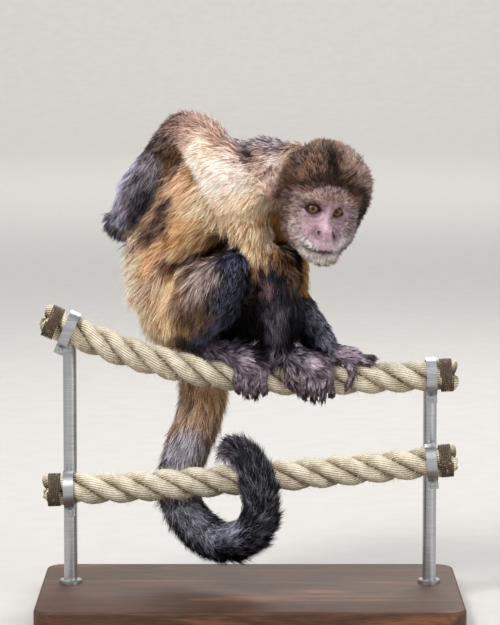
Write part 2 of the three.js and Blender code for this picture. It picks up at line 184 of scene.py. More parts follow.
def route_points(heights, count):
    """Points on the smooth curve through the rope's heights, their directions and lengths along it."""
    ends = [2 * heights[0] - heights[1], *heights, 2 * heights[-1] - heights[-2]]
    t = np.linspace(0, len(heights) - 1, CURVE_STEPS)
    i = np.minimum(t.astype(int), len(heights) - 2)
    p0, p1, p2, p3 = (np.array(ends)[i + k] for k in range(4))
    f = t - i
    z = 0.5 * (2 * p1 + (p2 - p0) * f + (2 * p0 - 5 * p1 + 4 * p2 - p3) * f ** 2
               + (3 * p1 - p0 - 3 * p2 + p3) * f ** 3) * MM
    x = (2 * t / (len(heights) - 1) - 1) * ROPE_HALF
    length = np.concatenate([[0], np.cumsum(np.hypot(np.diff(x), np.diff(z)))])
    even = np.linspace(0, length[-1], count)
    points = np.stack([np.interp(even, length, x), 0 * even, np.interp(even, length, z)], 1)
    return points, unit(np.gradient(points, axis=0)), even


def tube(rings, ends=True):
    """Faces of a closed tube over rings of equal size, and its vertices with the two end points."""
    rows, sides = rings.shape[:2]
    vertices = rings.reshape(-1, 3)
    j = np.arange(sides)
    faces = [(r * sides + a, r * sides + b, (r + 1) * sides + b, (r + 1) * sides + a)
             for r in range(rows - 1) for a, b in zip(j, (j + 1) % sides)]
    if ends:
        vertices = np.vstack([vertices, rings[0].mean(0), rings[-1].mean(0)])
        first, last, top = rows * sides, rows * sides + 1, (rows - 1) * sides
        faces += [(first, b, a) for a, b in zip(j, (j + 1) % sides)]
        faces += [(last, top + a, top + b) for a, b in zip(j, (j + 1) % sides)]
    return vertices, faces


def joined(parts):
    """Several (vertices, faces) as one."""
    vertices = np.vstack([v for v, _ in parts])
    starts = np.cumsum([0] + [len(v) for v, _ in parts])
    faces = [tuple(i + start for i in face) for (_, own), start in zip(parts, starts) for face in own]
    return vertices, faces


def hold(mesh, name, values):
    """Holds a number, a vector or a colour at each vertex, for a material to read."""
    values = np.asarray(values, np.float32)
    kind, field = {1: ("FLOAT", "value"), 3: ("FLOAT_VECTOR", "vector"),
                   4: ("FLOAT_COLOR", "color")}[values.size // len(mesh.vertices)]
    mesh.attributes.new(name, kind, "POINT").data.foreach_set(field, values.ravel())


# Hemp: dull straw-coloured bast fibre with random stains. Painted shade darkens the hollows between the
# strands, the grooves between the yarns and the underside.
hemp, tree, shader = material("laid_hemp_rope")
YARNS = 18
place = add(tree, "TexCoord").outputs["Object"]
hollow_shade = add(tree, "Attribute", attribute_name="hollow_shade").outputs["Fac"]
turned = add(tree, "Attribute", attribute_name="turned").outputs["Vector"]
across = add(tree, "SeparateXYZ", {"Vector": turned}).outputs
angle = add(tree, "Math", {0: across["Y"], 1: across["X"]}, operation="ARCTAN2").outputs[0]
stain = add(tree, "TexNoise", {"Vector": place, "Scale": 1 / 0.012, "Detail": 6.0}).outputs["Fac"]
fibre = add(tree, "TexNoise", {"Vector": place, "Scale": 1 / 0.0011, "Detail": 4.0}).outputs["Fac"]
wander = add(tree, "Math", {0: fibre, 1: 1.1}, operation="MULTIPLY").outputs[0]
phase = add(tree, "Math", {0: angle, 1: YARNS / 2, 2: wander}, operation="MULTIPLY_ADD").outputs[0]
wave = add(tree, "Math", {0: phase}, operation="SINE").outputs[0]
yarn = add(tree, "Math", {0: wave}, operation="ABSOLUTE").outputs[0]
raised = add(tree, "Math", {0: yarn, 1: 0.5}, operation="POWER").outputs[0]
# The random stains and the painted shade of the hollows and the underside, added together.
stain_and_hollow_shade = add(tree, "Math", {0: stain, 1: 0.4, 2: hollow_shade}, operation="MULTIPLY_ADD").outputs[0]
rough = add(tree, "Math", {0: fibre, 1: 0.34, 2: stain_and_hollow_shade}, operation="MULTIPLY_ADD").outputs[0]
# The grooves between the yarns are painted darker, as shade, over the fibre mottle and the stains.
fibre_stain_and_shade = add(tree, "Math", {0: raised, 1: 0.3, 2: rough}, operation="MULTIPLY_ADD").outputs[0]
straw = add(tree, "ValToRGB", {"Fac": fibre_stain_and_shade}, stops=(
    (0.3, "#170f08"), (0.52, "#4c3c28"), (0.7, "#8a7a60"), (0.86, "#b8aa92"), (1.0, "#e2d8c3")))
relief = add(tree, "Math", {0: fibre, 1: 0.5, 2: raised}, operation="MULTIPLY_ADD").outputs[0]
ridges = add(tree, "Bump", {"Height": relief, "Distance": 0.0009, "Strength": 0.9})
finish_shader(tree, shader, Roughness=0.92, Specular_IOR_Level=0.2, Base_Color=straw.outputs["Color"],
              Normal=ridges.outputs["Normal"])

# Tarred twine: dark brown, slightly waxy.
twine, tree, shader = material("tarred_twine")
streak = add(tree, "TexNoise", {"Vector": add(tree, "TexCoord").outputs["Object"], "Scale": 1 / 0.0012})
tar = add(tree, "ValToRGB", {"Fac": streak.outputs["Fac"]}, stops=((0.3, "#2e2216"), (0.7, "#5a4530")))
finish_shader(tree, shader, Roughness=0.7, Base_Color=tar.outputs["Color"])

ROWS = 240
SIDES = 36
YARN_TURNS = 1.7          # the yarns' own twist for each turn of the lay
FIBRES = 5200
FIBRE_SEED = 10
SLIVER = ((0, 1, 3), (0, 3, 2), (2, 3, 4))
WHIPPING = 11 * MM
TWINE_RADIUS = 0.7 * MM
TWINE_STEPS, TWINE_SIDES = 24, 6
WHIPPING_INSET = 1.5 * MM
FINE_ROUTE = 2000


def rope_frame(route):
    """Centre points, side directions and up directions along a rope, and the turn of its lay."""
    points, along, length = route_points(route, ROWS)
    side = np.tile([0.0, -1.0, 0.0], (ROWS, 1))
    up = np.stack([-along[:, 2], 0 * length, along[:, 0]], 1)
    return points, along, side, up, -2 * pi * length / ROPE_LAY


def build_rope(name, route):
    """The three strands of one rope, with the fibres that stand out from them."""
    points, along, side, up, lay = rope_frame(route)
    parts, hollow_shade_values, turned_values = [], [], []
    around = full_turn(SIDES)[None]
    dry = np.random.default_rng(FIBRE_SEED)
    for strand in range(STRANDS):
        turn = lay + 2 * pi * strand / STRANDS
        out = side * np.cos(turn)[:, None] + up * np.sin(turn)[:, None]
        centre = points + STRAND_ORBIT * out
        heading = unit(np.gradient(centre, axis=0))
        out = unit(out - heading * (out * heading).sum(1, keepdims=True))
        across = np.cross(heading, out)
        radial = np.cos(around)[..., None] * out[:, None] + np.sin(around)[..., None] * across[:, None]
        swell = 1 + 0.03 * np.sin(around * 2 + 9 * lay[:, None]) * np.sin(3.1 * lay)[:, None]
        rings = centre[:, None] + STRAND_RADIUS * 0.99 * swell[..., None] * radial
        parts.append(tube(rings))
        # Painted shade: lightest where a strand stands out and faces up, darkest in the hollows and below.
        reach = 0.5 + 0.5 * np.cos(around) + 0 * lay[:, None]
        above = np.clip(radial[..., 2], -1, 1)
        hollow_shade_values.append(np.append((-0.12 + 0.42 * reach ** 0.5 + 0.07 * above).ravel(), [0.1, 0.1]))
        own = around - YARN_TURNS * lay[:, None]
        own = np.stack([np.cos(own), np.sin(own), 0 * own], 2).reshape(-1, 3)
        turned_values.append(np.vstack([own, [[1, 0, 0], [1, 0, 0]]]))

        # Broken fibres: thin slivers that leave the strand at a low angle and curl.
        count = FIBRES // STRANDS
        row = dry.integers(2, ROWS - 2, count)
        column = dry.integers(-SIDES // 4, SIDES // 4, count) % SIDES
        root, away = rings[row, column], radial[row, column]
        ways = dry.choice([-1, 1], count)[:, None]
        lean = unit(along[row] * ways + 0.8 * dry.standard_normal((count, 3)))
        long = dry.uniform(1.5, 5.5, count)[:, None] * MM
        first = root + long * (0.55 * lean + 0.25 * away) + dry.normal(0, 0.3, (count, 3)) * MM
        last = first + long * (0.5 * lean + 0.15 * away) + dry.normal(0, 0.7, (count, 3)) * MM
        thick = unit(np.cross(lean, away)) * dry.uniform(0.06, 0.13, count)[:, None] * MM
        sliver = np.stack([root - thick, root + thick, first - thick, first + thick, last], 1)
        faces = [tuple(5 * k + i for i in face) for k in range(count) for face in SLIVER]
        parts.append((sliver.reshape(-1, 3), faces))
        hollow_shade_values.append(np.full(5 * count, 0.35))
        turned_values.append(np.tile([0.98, 0.17, 0], (5 * count, 1)))
    vertices, faces = joined(parts)
    made = mesh_object(name + "_strands", vertices, faces, hemp)
    hold(made.data, "hollow_shade", np.concatenate(hollow_shade_values))
    hold(made.data, "turned", np.vstack(turned_values))
    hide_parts(name)
    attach(made, "root")


def build_whipping(name, route):
    """Turns of twine laid tightly side by side round each end of a rope."""
    points, along, length = route_points(route, FINE_ROUTE)
    turns = int(WHIPPING / (2 * TWINE_RADIUS))
    t = np.linspace(0, 1, turns * TWINE_STEPS)
    a = (t * turns * 2 * pi)[:, None]
    b = full_turn(TWINE_SIDES)[None, :, None]
    windings = []
    for end in (0, 1):
        place = WHIPPING_INSET + t * WHIPPING
        place = length[-1] - place if end else place
        middle, heading = (np.stack([np.interp(place, length, values[:, i]) for i in range(3)], 1)
                           for values in (points, along))
        heading = unit(heading)
        across = np.tile([0.0, -1.0, 0.0], (len(t), 1))
        out = np.cos(a) * across + np.sin(a) * np.cross(heading, across)
        wire = middle + (ROPE_RADIUS + TWINE_RADIUS * 0.3) * out
        section = np.cos(b) * out[:, None] + np.sin(b) * heading[:, None]
        windings.append(tube(wire[:, None] + TWINE_RADIUS * section))
    made = mesh_object(name + "_whipping", *joined(windings), twine)
    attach(made, "root")


for name, route in ROPE_ROUTES.items():
    build_rope(name, route)
    build_whipping(name, route)


# ---- Stand -------------------------------------------------------------------------------------------
# A plain display stand in place of what held the ropes: a stained hardwood board with its edges rounded,
# and two brushed steel rods set into it behind the ropes. A split band welded to a rod clamps each rope.

# Stained hardwood under satin lacquer: streaks of grain along X and open pores about 0.7 mm wide.
hardwood, tree, shader = material("stained_hardwood")
place = add(tree, "TexCoord").outputs["Object"]
streak_place = add(tree, "VectorMath", {0: place, 1: (5, 60, 60)}, operation="MULTIPLY").outputs["Vector"]
pore_place = add(tree, "VectorMath", {0: place, 1: (60, 1500, 1500)}, operation="MULTIPLY").outputs["Vector"]
figure = add(tree, "TexNoise", {"Vector": streak_place, "Scale": 1.0, "Detail": 6.0, "Distortion": 0.8})
pores = add(tree, "TexNoise", {"Vector": pore_place, "Scale": 1.0, "Detail": 2.0})
stain = add(tree, "ValToRGB", {"Fac": figure.outputs["Fac"]}, stops=(
    (0.3, "#2e1a0f"), (0.46, "#54341f"), (0.54, "#412716"), (0.7, "#744a2c")))
open_grain = add(tree, "MapRange", {"Value": pores.outputs["Fac"], "From Min": 0.35, "From Max": 0.55,
                                    "To Min": 0.45, "To Max": 1.0}).outputs["Result"]
toned = add(tree, "VectorMath", {0: stain.outputs["Color"], 1: open_grain}, operation="MULTIPLY")
relief = add(tree, "Bump", {"Height": open_grain, "Distance": 0.0002, "Strength": 0.4})
finish_shader(tree, shader, Base_Color=toned.outputs["Vector"], Roughness=0.55, Specular_IOR_Level=0.3,
              Coat_Weight=0.08, Coat_Roughness=0.25, Normal=relief.outputs["Normal"])

# Brushed steel: satin, with faint brush lines about 0.4 mm apart round the rods.
steel, tree, shader = material("brushed_steel")
place = add(tree, "TexCoord").outputs["Object"]
brush_place = add(tree, "VectorMath", {0: place, 1: (60, 60, 2500)}, operation="MULTIPLY").outputs["Vector"]
brushed = add(tree, "TexNoise", {"Vector": brush_place, "Scale": 1.0, "Detail": 3.0}).outputs["Fac"]
grey = add(tree, "ValToRGB", {"Fac": brushed}, stops=((0.3, "#98999b"), (0.7, "#bfc0c1")))
relief = add(tree, "Bump", {"Height": brushed, "Distance": 0.0001, "Strength": 0.3})
finish_shader(tree, shader, Base_Color=grey.outputs["Color"], Metallic=1.0, Roughness=0.34,
              Normal=relief.outputs["Normal"])

BOARD_CORNER, BOARD_ROUND = 18 * MM, 3 * MM
ROD_RADIUS, ROD_X, ROD_OVER_ROPE = 6 * MM, 160 * MM, 8 * MM
COLLAR_RADIUS, COLLAR_HEIGHT = 10 * MM, 3.5 * MM
BAND_RADIUS, BAND_WALL, BAND_WIDTH, BAND_WELD = 15.9 * MM, 2 * MM, 9 * MM, 1.2 * MM
BAND_GAP, LUG_REACH = 1.6 * MM, 24 * MM
LUG_ROOT = BAND_RADIUS + 1.2 * MM
SCREW_RADIUS, SCREW_HEAD, SCREW_INSET = 1.8 * MM, 3.2 * MM, 3.6 * MM
BEVEL = 0.8 * MM
CRISP = radians(35)
QUARTERS = ((1, 1), (-1, 1), (-1, -1), (1, -1))
FRONT = np.array([0.0, -1.0, 0.0])


def lathe(profile, origin, axis, sides=48):
    """A closed turned form from (radius, place along the axis) points."""
    axis = unit(np.array(axis, float))
    first = unit(np.cross(axis, [0.1, 0.9, 0.3]))
    second = np.cross(axis, first)
    around = full_turn(sides)[:, None]
    out = np.cos(around) * first + np.sin(around) * second
    return tube(np.array([origin + axis * along + radius * out for radius, along in profile]))


def stand_piece(name, parts, finish):
    """One piece of the stand in place of its CAD node."""
    made = mesh_object(name, *joined(parts), finish)
    made.data.set_sharp_from_angle(angle=CRISP)
    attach(made, "root")
    return made


board_low, board_high = (np.array(corner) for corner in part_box("stand_base"))
board_top = board_high[2]


def board_ring(inset, height):
    """The board's outline with rounded corners, drawn in by an inset."""
    ring = []
    for quarter, (sx, sy) in enumerate(QUARTERS):
        middle = np.array([sx * (board_high[0] - BOARD_CORNER), sy * (board_high[1] - BOARD_CORNER)])
        for a in np.linspace(0, pi / 2, 9) + quarter * pi / 2:
            ring.append([*(middle + (BOARD_CORNER - inset) * np.array([cos(a), sin(a)])), height])
    return ring


board_rings = [board_ring(BEVEL, board_low[2]), board_ring(0, board_low[2] + BEVEL)]
board_rings += [board_ring(BOARD_ROUND * (1 - cos(a)), board_top - BOARD_ROUND * (1 - sin(a)))
                for a in np.linspace(0, pi / 2, 7)]
base = stand_piece("stand_board", [tube(np.array(board_rings))], hardwood)
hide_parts("stand_base")


def clamp(centre, way):
    """A split band round the rope at a point on it, and the screw through its two lugs."""
    down = -np.cross(way, FRONT) * np.sign(np.cross(way, FRONT)[2])
    # The band starts at one lug below the rope, runs round it and ends at the other lug.
    open_by = BAND_GAP / BAND_RADIUS
    path = [(LUG_REACH, BAND_GAP), (LUG_ROOT, BAND_GAP)]
    turns = np.linspace(open_by, 2 * pi - open_by, 60)
    path += [(BAND_RADIUS * cos(a), BAND_RADIUS * sin(a)) for a in turns]
    path += [(LUG_ROOT, -BAND_GAP), (LUG_REACH, -BAND_GAP)]
    line = np.array([centre + r * down + f * FRONT for r, f in path])
    out = np.cross(unit(np.gradient(line, axis=0)), way)
    strip = [[q + o * sx * BAND_WALL / 2 + way * sy * BAND_WIDTH / 2 for sx, sy in QUARTERS]
             for q, o in zip(line, out)]
    screw = centre + down * (LUG_REACH - SCREW_INSET) + FRONT * (BAND_GAP + BAND_WALL / 2)
    through = 2 * BAND_GAP + BAND_WALL
    turned_form = ((1.2 * MM, BEVEL), (1.3 * MM, 2.4 * MM), (SCREW_HEAD - 0.4 * MM, 2.4 * MM),
                   (SCREW_HEAD, 2.0 * MM), (SCREW_HEAD, 0), (SCREW_RADIUS, 0), (SCREW_RADIUS, -through),
                   (SCREW_HEAD, -through), (SCREW_HEAD, -through - 2 * MM),
                   (SCREW_RADIUS, -through - 2 * MM))
    return [tube(np.array(strip)), lathe(turned_form, screw, FRONT, 24)]


for side, name in ((-1, "stand_post_left"), (1, "stand_post_right")):
    held_at = []
    for route in ROPE_ROUTES.values():
        points, along, _ = route_points(route, 400)
        nearest = np.abs(points[:, 0] - side * ROD_X).argmin()
        held_at.append((points[nearest], along[nearest]))
    rod_y = BAND_RADIUS + BAND_WALL / 2 + ROD_RADIUS - BAND_WELD
    foot = np.array([side * ROD_X, rod_y, board_top - 1 * MM])
    rod_height = held_at[0][0][2] + ROD_OVER_ROPE - foot[2]
    rod_form = ((COLLAR_RADIUS, 0), (COLLAR_RADIUS, COLLAR_HEIGHT + 0.2 * MM),
                (COLLAR_RADIUS - BEVEL, COLLAR_HEIGHT + 1 * MM), (ROD_RADIUS, COLLAR_HEIGHT + 1 * MM),
                (ROD_RADIUS, rod_height - BEVEL), (ROD_RADIUS - BEVEL, rod_height))
    rod = stand_piece(name + "_rod", [lathe(rod_form, foot, (0, 0, 1))], steel)
    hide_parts(name)
    bands = [part for centre, way in held_at for part in clamp(centre, way)]
    stand_piece(name + "_bands", bands, steel)


# ---- Skin --------------------------------------------------------------------------------------------
# One skin over the whole animal, cast in silicone as for a museum model: bare on the face, and lying
# under the coat elsewhere by the coat's depth. Folds, lids, nostrils and lips are formed in it.

FLESH = [name for name in nodes if not name.startswith(("rope", "stand", "eye"))]
DIGITS = [name for name in FLESH if name.startswith(("toe", "finger"))]
SKIN_GRAIN = 1.363 * MM


def node_shell(name, grow):
    """A node's vertices and faces, moved out along its normals."""
    shell = bmesh.new()
    shell.from_mesh(nodes[name].data)
    bmesh.ops.remove_doubles(shell, verts=shell.verts, dist=1e-6)
    bmesh.ops.recalc_face_normals(shell, faces=shell.faces)
    vertices = np.array([v.co + v.normal * grow for v in shell.verts])
    faces = [tuple(v.index for v in face.verts) for face in shell.faces]
    shell.free()
    return vertices, faces


shells = {name: node_shell(name, 0) for name in nodes}
corners = {name: vertices for name, (vertices, _) in shells.items()}
TOUCHING, AT_END = 2 * MM, 1.5 * MM


def meeting(a, b):
    """The middle of where two nodes touch."""
    gaps = np.linalg.norm(corners[a][:, None] - corners[b][None], axis=2).min(1)
    return corners[a][gaps < gaps.min() + TOUCHING].mean(0)


def far_end(name, start):
    """The mean of a node's vertices that are farthest from a point."""
    away = np.linalg.norm(corners[name] - start, axis=1)
    return corners[name][away > away.max() - AT_END].mean(0)


# Each node's own line, from the joint nearer the body to the farther one.
lines = {}
for chain in (["neck", "trunk_chest", "trunk_loin", "tail_1"],
              *([root, *limb] for side in ("right", "left") for root, limb in (
                  ("trunk_chest", [f"upper_arm_{side}", f"forearm_{side}", f"hand_{side}"]),
                  ("trunk_loin", [f"thigh_{side}", f"shin_{side}", f"foot_{side}"]))),
              ["trunk_loin", *(f"tail_{i}" for i in range(1, 8))]):
    for before, name, after in zip(chain, chain[1:], chain[2:] + [None]):
        start = meeting(name, before)
        if name not in lines:
            lines[name] = (start, meeting(name, after) if after else far_end(name, start))
lines["neck"] = (meeting("neck", "head"), meeting("neck", "trunk_chest"))
for name in DIGITS:
    palm = name.replace("toe", "foot").replace("finger", "hand")[:-2]
    start = meeting(name, palm)
    lines[name] = (start, far_end(name, start))

# Head frame: x to the animal's left, y up, z out of the face, in mm, zero at the root of the nose.
HEAD_TURN, HEAD_NOD, HEAD_TILT = radians(11), radians(13), radians(8)
head_turn = (Matrix.Rotation(HEAD_TURN, 3, "Z") @ Matrix.Rotation(HEAD_NOD, 3, "X")
             @ Matrix.Rotation(HEAD_TILT, 3, "Y"))
head_axes = np.array([head_turn @ Vector(axis) for axis in ((1, 0, 0), (0, 0, 1), (0, -1, 0))])
eye_centres = {name: np.array(sum(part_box(name), Vector()) / 2) for name in ("eye_right", "eye_left")}
EYE_RADIUS = 9 * MM
BETWEEN_EYES = np.array([1.9, -3.1, -8.8]) * MM
face_zero = sum(eye_centres.values()) / 2 - BETWEEN_EYES @ head_axes


def to_head(points):
    """Points in the head frame."""
    return (points - face_zero) @ head_axes.T / MM


def from_head(points):
    """Points of the head frame in the scene."""
    return np.asarray(points) * MM @ head_axes + face_zero


lines["head"] = (from_head([3, 40, -30]), from_head([3, -30, -30]))
for side, name in ((-1, "ear_right"), (1, "ear_left")):
    lines[name] = (from_head([side * 40, -10, -44]), from_head([side * 40, 22, -44]))


def smoothstep(low, high, value):
    """Rises smoothly from 0 at low to 1 at high, or falls if low is the greater."""
    t = np.clip((value - low) / (high - low), 0, 1)
    return t * t * (3 - 2 * t)


def remeshed(vertices, faces, grain):
    """The closed surface round some overlapping shells, in even quads."""
    source = mesh_object("flesh", vertices, faces, hemp)
    modifier = source.modifiers.new("grain", "REMESH")
    modifier.mode, modifier.voxel_size = "VOXEL", grain
    shape = bpy.data.meshes.new_from_object(source.evaluated_get(bpy.context.evaluated_depsgraph_get()))
    bpy.data.objects.remove(source)
    return shape


# The growth closes the clearances between the nodes, but not those between the digits.
GROWTH, DIGIT_GROWTH = 0.45, 0.1
flesh = [node_shell(name, (DIGIT_GROWTH if name in DIGITS else GROWTH) * MM)
         for name in [*FLESH, *eye_centres]]
skin_mesh = remeshed(*joined(flesh), SKIN_GRAIN)


def face_oval(p):
    """Below 1 on the bare face, in the head frame."""
    return np.sqrt(((p[:, 0] - 1.5) / 26.5) ** 2 + ((p[:, 1] + 14) / 29.5) ** 2)


def refine(mesh, chosen):
    """Cuts the quads whose middles are chosen into four."""
    shape = bmesh.new()
    shape.from_mesh(mesh)
    middles = np.array([face.calc_center_median() for face in shape.faces])
    shape.edges.ensure_lookup_table()
    edges = {edge for face, pick in zip(shape.faces, chosen(middles)) if pick for edge in face.edges}
    bmesh.ops.subdivide_edges(shape, edges=list(edges), cuts=1, use_grid_fill=True)
    shape.to_mesh(mesh)
    shape.free()


def on_face(points):
    """True on the front of the head."""
    p = to_head(points)
    return (face_oval(p) < 1.15) & (p[:, 2] > -26)


def on_lids(points):
    """True close round the eyes."""
    p = to_head(points)
    away = np.min([np.linalg.norm((points - centre) / MM, axis=1) for centre in eye_centres.values()], 0)
    return (away < 13.5) & (p[:, 2] > -9)


refine(skin_mesh, on_face)
refine(skin_mesh, on_lids)


def read(items, field, width, kind=float):
    """One field of all the vertices, edges or triangles of a mesh, a row for each."""
    values = np.empty(width * len(items), kind)
    items.foreach_get(field, values)
    return values.reshape(-1, width)


count = len(skin_mesh.vertices)
skin_points = read(skin_mesh.vertices, "co", 3)
edge_ends = read(skin_mesh.edges, "vertices", 2, int)
edge_a, edge_b = edge_ends.T
degree = np.bincount(edge_ends.ravel(), minlength=count)[:, None]


def spread(values, rounds):
    """Evens out a value over the skin: each vertex takes the mean of itself and its neighbours."""
    values = values.reshape(count, -1)
    for _ in range(rounds):
        total = [np.bincount(edge_a, column[edge_b], count) + np.bincount(edge_b, column[edge_a], count)
                 for column in values.T]
        values = (values + np.stack(total, 1)) / (1 + degree)
    return values


def skin_normals():
    """The normals of the skin as it now is."""
    skin_mesh.vertices.foreach_set("co", skin_points.ravel())
    skin_mesh.update()
    return read(skin_mesh.vertices, "normal", 3)


# Each vertex belongs to the node nearest to it.
all_faces = joined([shells[name] for name in FLESH])
owner_of_face = np.repeat(np.arange(len(FLESH)), [len(shells[name][1]) for name in FLESH])
finder = BVHTree.FromPolygons([Vector(v) for v in all_faces[0]], all_faces[1])
owner = owner_of_face[[finder.find_nearest(Vector(p))[2] for p in skin_points]]

# The coat of each part: how deep the skin lies under it and the length and width of a hair, in mm, the
# hair's lift from the skin in degrees, its dark and light colours, and the share of light hair.
Coat = namedtuple("Coat", "depth length width lift dark light share")
COATS = {
    "head": Coat(6, 9, 0.4, 54, "#22130c", "#94725c", 0.5),
    "ear": Coat(0.4, 5, 0.3, 26, "#9a7464", "#e0c6ba", 0.6),
    "neck": Coat(7, 14, 0.5, 24, "#7a5842", "#dcbfa4", 0.6),
    "trunk_chest": Coat(8, 20, 0.6, 20, "#84522a", "#ecc29a", 0.64),
    "trunk_loin": Coat(8, 20, 0.6, 22, "#7c4c1e", "#eab478", 0.6),
    "upper_arm_right": Coat(7, 15, 0.55, 20, "#b48a62", "#fae6cc", 0.7),
    "upper_arm_left": Coat(4, 15, 0.55, 18, "#3a200c", "#a0703c", 0.6),
    "forearm_right": Coat(5.5, 14, 0.5, 18, "#0e0d12", "#5e5a68", 0.35),
    "forearm_left": Coat(3.5, 13, 0.5, 20, "#0e0d14", "#5a586a", 0.35),
    "thigh_right": Coat(8, 17, 0.5, 20, "#18100d", "#8a7264", 0.4),
    "thigh_left": Coat(4, 18, 0.5, 26, "#0c0a0c", "#3c363a", 0.3),
    "shin_right": Coat(5, 14, 0.5, 18, "#08080d", "#4e4e60", 0.3),
    "shin_left": Coat(3.5, 14, 0.5, 20, "#0a090c", "#4a4650", 0.3),
    "foot": Coat(0.6, 9, 0.4, 16, "#1d1418", "#a08c98", 0.45),
    "hand": Coat(0.6, 9, 0.4, 16, "#1d1418", "#a08c98", 0.45),
    "toe": Coat(0, 8, 0.4, 14, "#1c1216", "#8c7884", 0.4),
    "finger": Coat(0, 6, 0.35, 14, "#30242a", "#a494a0", 0.5),
    "tail_1": Coat(8, 17, 0.5, 26, "#54381f", "#d6ac86", 0.54),
    "tail_2": Coat(8, 17, 0.5, 26, "#4a3426", "#caa88c", 0.5),
    "tail_3": Coat(8, 17, 0.5, 28, "#1c181a", "#b0a8ae", 0.45),
    "tail": Coat(8, 17, 0.5, 28, "#050507", "#83808c", 0.24),
}


def owned(*parts):
    """1 at the skin vertices that belong to some parts, 0 elsewhere."""
    return np.isin(owner, [FLESH.index(part) for part in parts]).astype(float)


def number(value):
    """A value as an array; a hex colour as its linear red, green and blue."""
    return np.array(linear(value)[:3] if isinstance(value, str) else value)


def coat_of(name):
    """The coat whose key fits most of a node's name."""
    return COATS[max((key for key in COATS if name.startswith(key)), key=len)]


def from_coats(field, rounds):
    """One of the coat's values at each skin vertex, evened out across the joints."""
    table = np.array([number(getattr(coat_of(name), field)) for name in FLESH])
    return spread(table[owner], rounds)


head_points = to_head(skin_points)
is_head = spread(owned("head"), 4)[:, 0]
oval = face_oval(head_points)
behind = smoothstep(-22, -30, head_points[:, 2])
bare = is_head * (1 - np.maximum(smoothstep(0.86, 1.25, oval), behind))
depth = from_coats("depth", 10)[:, 0] * (1 - bare)

# The coat is thin over the knees and elbows.
for name in (f"{limb}_{side}" for limb in ("thigh", "upper_arm") for side in ("right", "left")):
    away = np.linalg.norm(skin_points - lines[name][1], axis=1) / MM
    depth *= 1 - 0.5 * smoothstep(26, 12, away)
soft = smoothstep(0.5, 3, depth)[:, None]
skin_points += (spread(skin_points, 8) - skin_points) * soft
SHRINK_STEPS, DIGIT_SWELL = 6, 0.35
for _ in range(SHRINK_STEPS):
    skin_points -= skin_normals() * (depth / SHRINK_STEPS * MM)[:, None]
    skin_points += (spread(skin_points, 3) - skin_points) * soft
digit_share = spread(owned(*DIGITS), 3)
skin_points += (spread(skin_points, 4) - skin_points) * digit_share
skin_points += DIGIT_SWELL * MM * skin_normals() * digit_share

# The bare face, as rounded forms in the head frame: centre, half sizes, fillet to the ones before.
FACE_FORMS = (
    ((3, 16, -36), (37, 35, 42), 16), ((15, -22, -18), (18, 20, 19), 12),
    ((-11.2, -22, -18), (18, 20, 19), 12), ((1, -6, -17), (29, 26, 15), 9),
    ((12, 9, -5), (12, 5, 6.5), 6), ((-8, 9, -5), (12, 5, 6.5), 6),
    ((1.5, -23, -4), (17, 13, 14.5), 8), ((2, -29, 4), (13.5, 8, 10), 6),
    ((1.4, -9, 0), (4.4, 13, 5.5), 4), ((2, -18, 6), (6, 4.5, 6), 4),
    ((-4.4, -19.5, 7.5), (3.6, 3.4, 4.4), 3), ((8.4, -19.5, 7.5), (3.6, 3.4, 4.4), 3),
    ((2.8, -40, -3), (15, 8.5, 13.5), 7))
EYE_HOLLOWS = (((13.1, -2.8, 5.5), (9.5, 6.5, 8), 3), ((-9.3, -2.8, 5.5), (9.5, 6.5, 8), 3))
FACE_MIDDLE = np.array([0, -4, -30])
FACE_REACH, HALVINGS = 95.0, 22


def ellipsoid(p, centre, size):
    """About how far points lie outside an ellipsoid."""
    scaled = (p - centre) / size
    k = np.linalg.norm(scaled, axis=1)
    return k * (k - 1) / np.maximum(np.linalg.norm(scaled / size, axis=1), 1e-6)


def fillet(a, b, radius):
    """The nearer of two distances, with a fillet where they are alike."""
    h = np.maximum(radius - np.abs(a - b), 0) / radius
    return np.minimum(a, b) - h * h * radius / 4


def face_distance(p):
    """About how far points lie outside the face."""
    distance = np.full(len(p), 1e3)
    for centre, size, radius in FACE_FORMS:
        distance = fillet(distance, ellipsoid(p, centre, size), radius)
    for centre, size, radius in EYE_HOLLOWS:
        distance = -fillet(-distance, ellipsoid(p, centre, size), radius)
    return distance


def stroke(p, line, width):
    """Falls from 1 on a line drawn over the face, given as (x, y) points, to 0 beyond its width."""
    line = np.array(line, float)
    away = np.full(len(p), 1e3)
    for a, b in zip(line, line[1:]):
        t = np.clip(((p[:, :2] - a) @ (b - a)) / ((b - a) @ (b - a)), 0, 1)
        away = np.minimum(away, np.linalg.norm(p[:, :2] - a - t[:, None] * (b - a), axis=1))
    return np.exp(-(away / width) ** 2)


MOUTH = ((-12, -33.8), (-7.5, -34.4), (-1.5, -34.8), (5, -34.4), (10, -33.6), (14, -32.4))
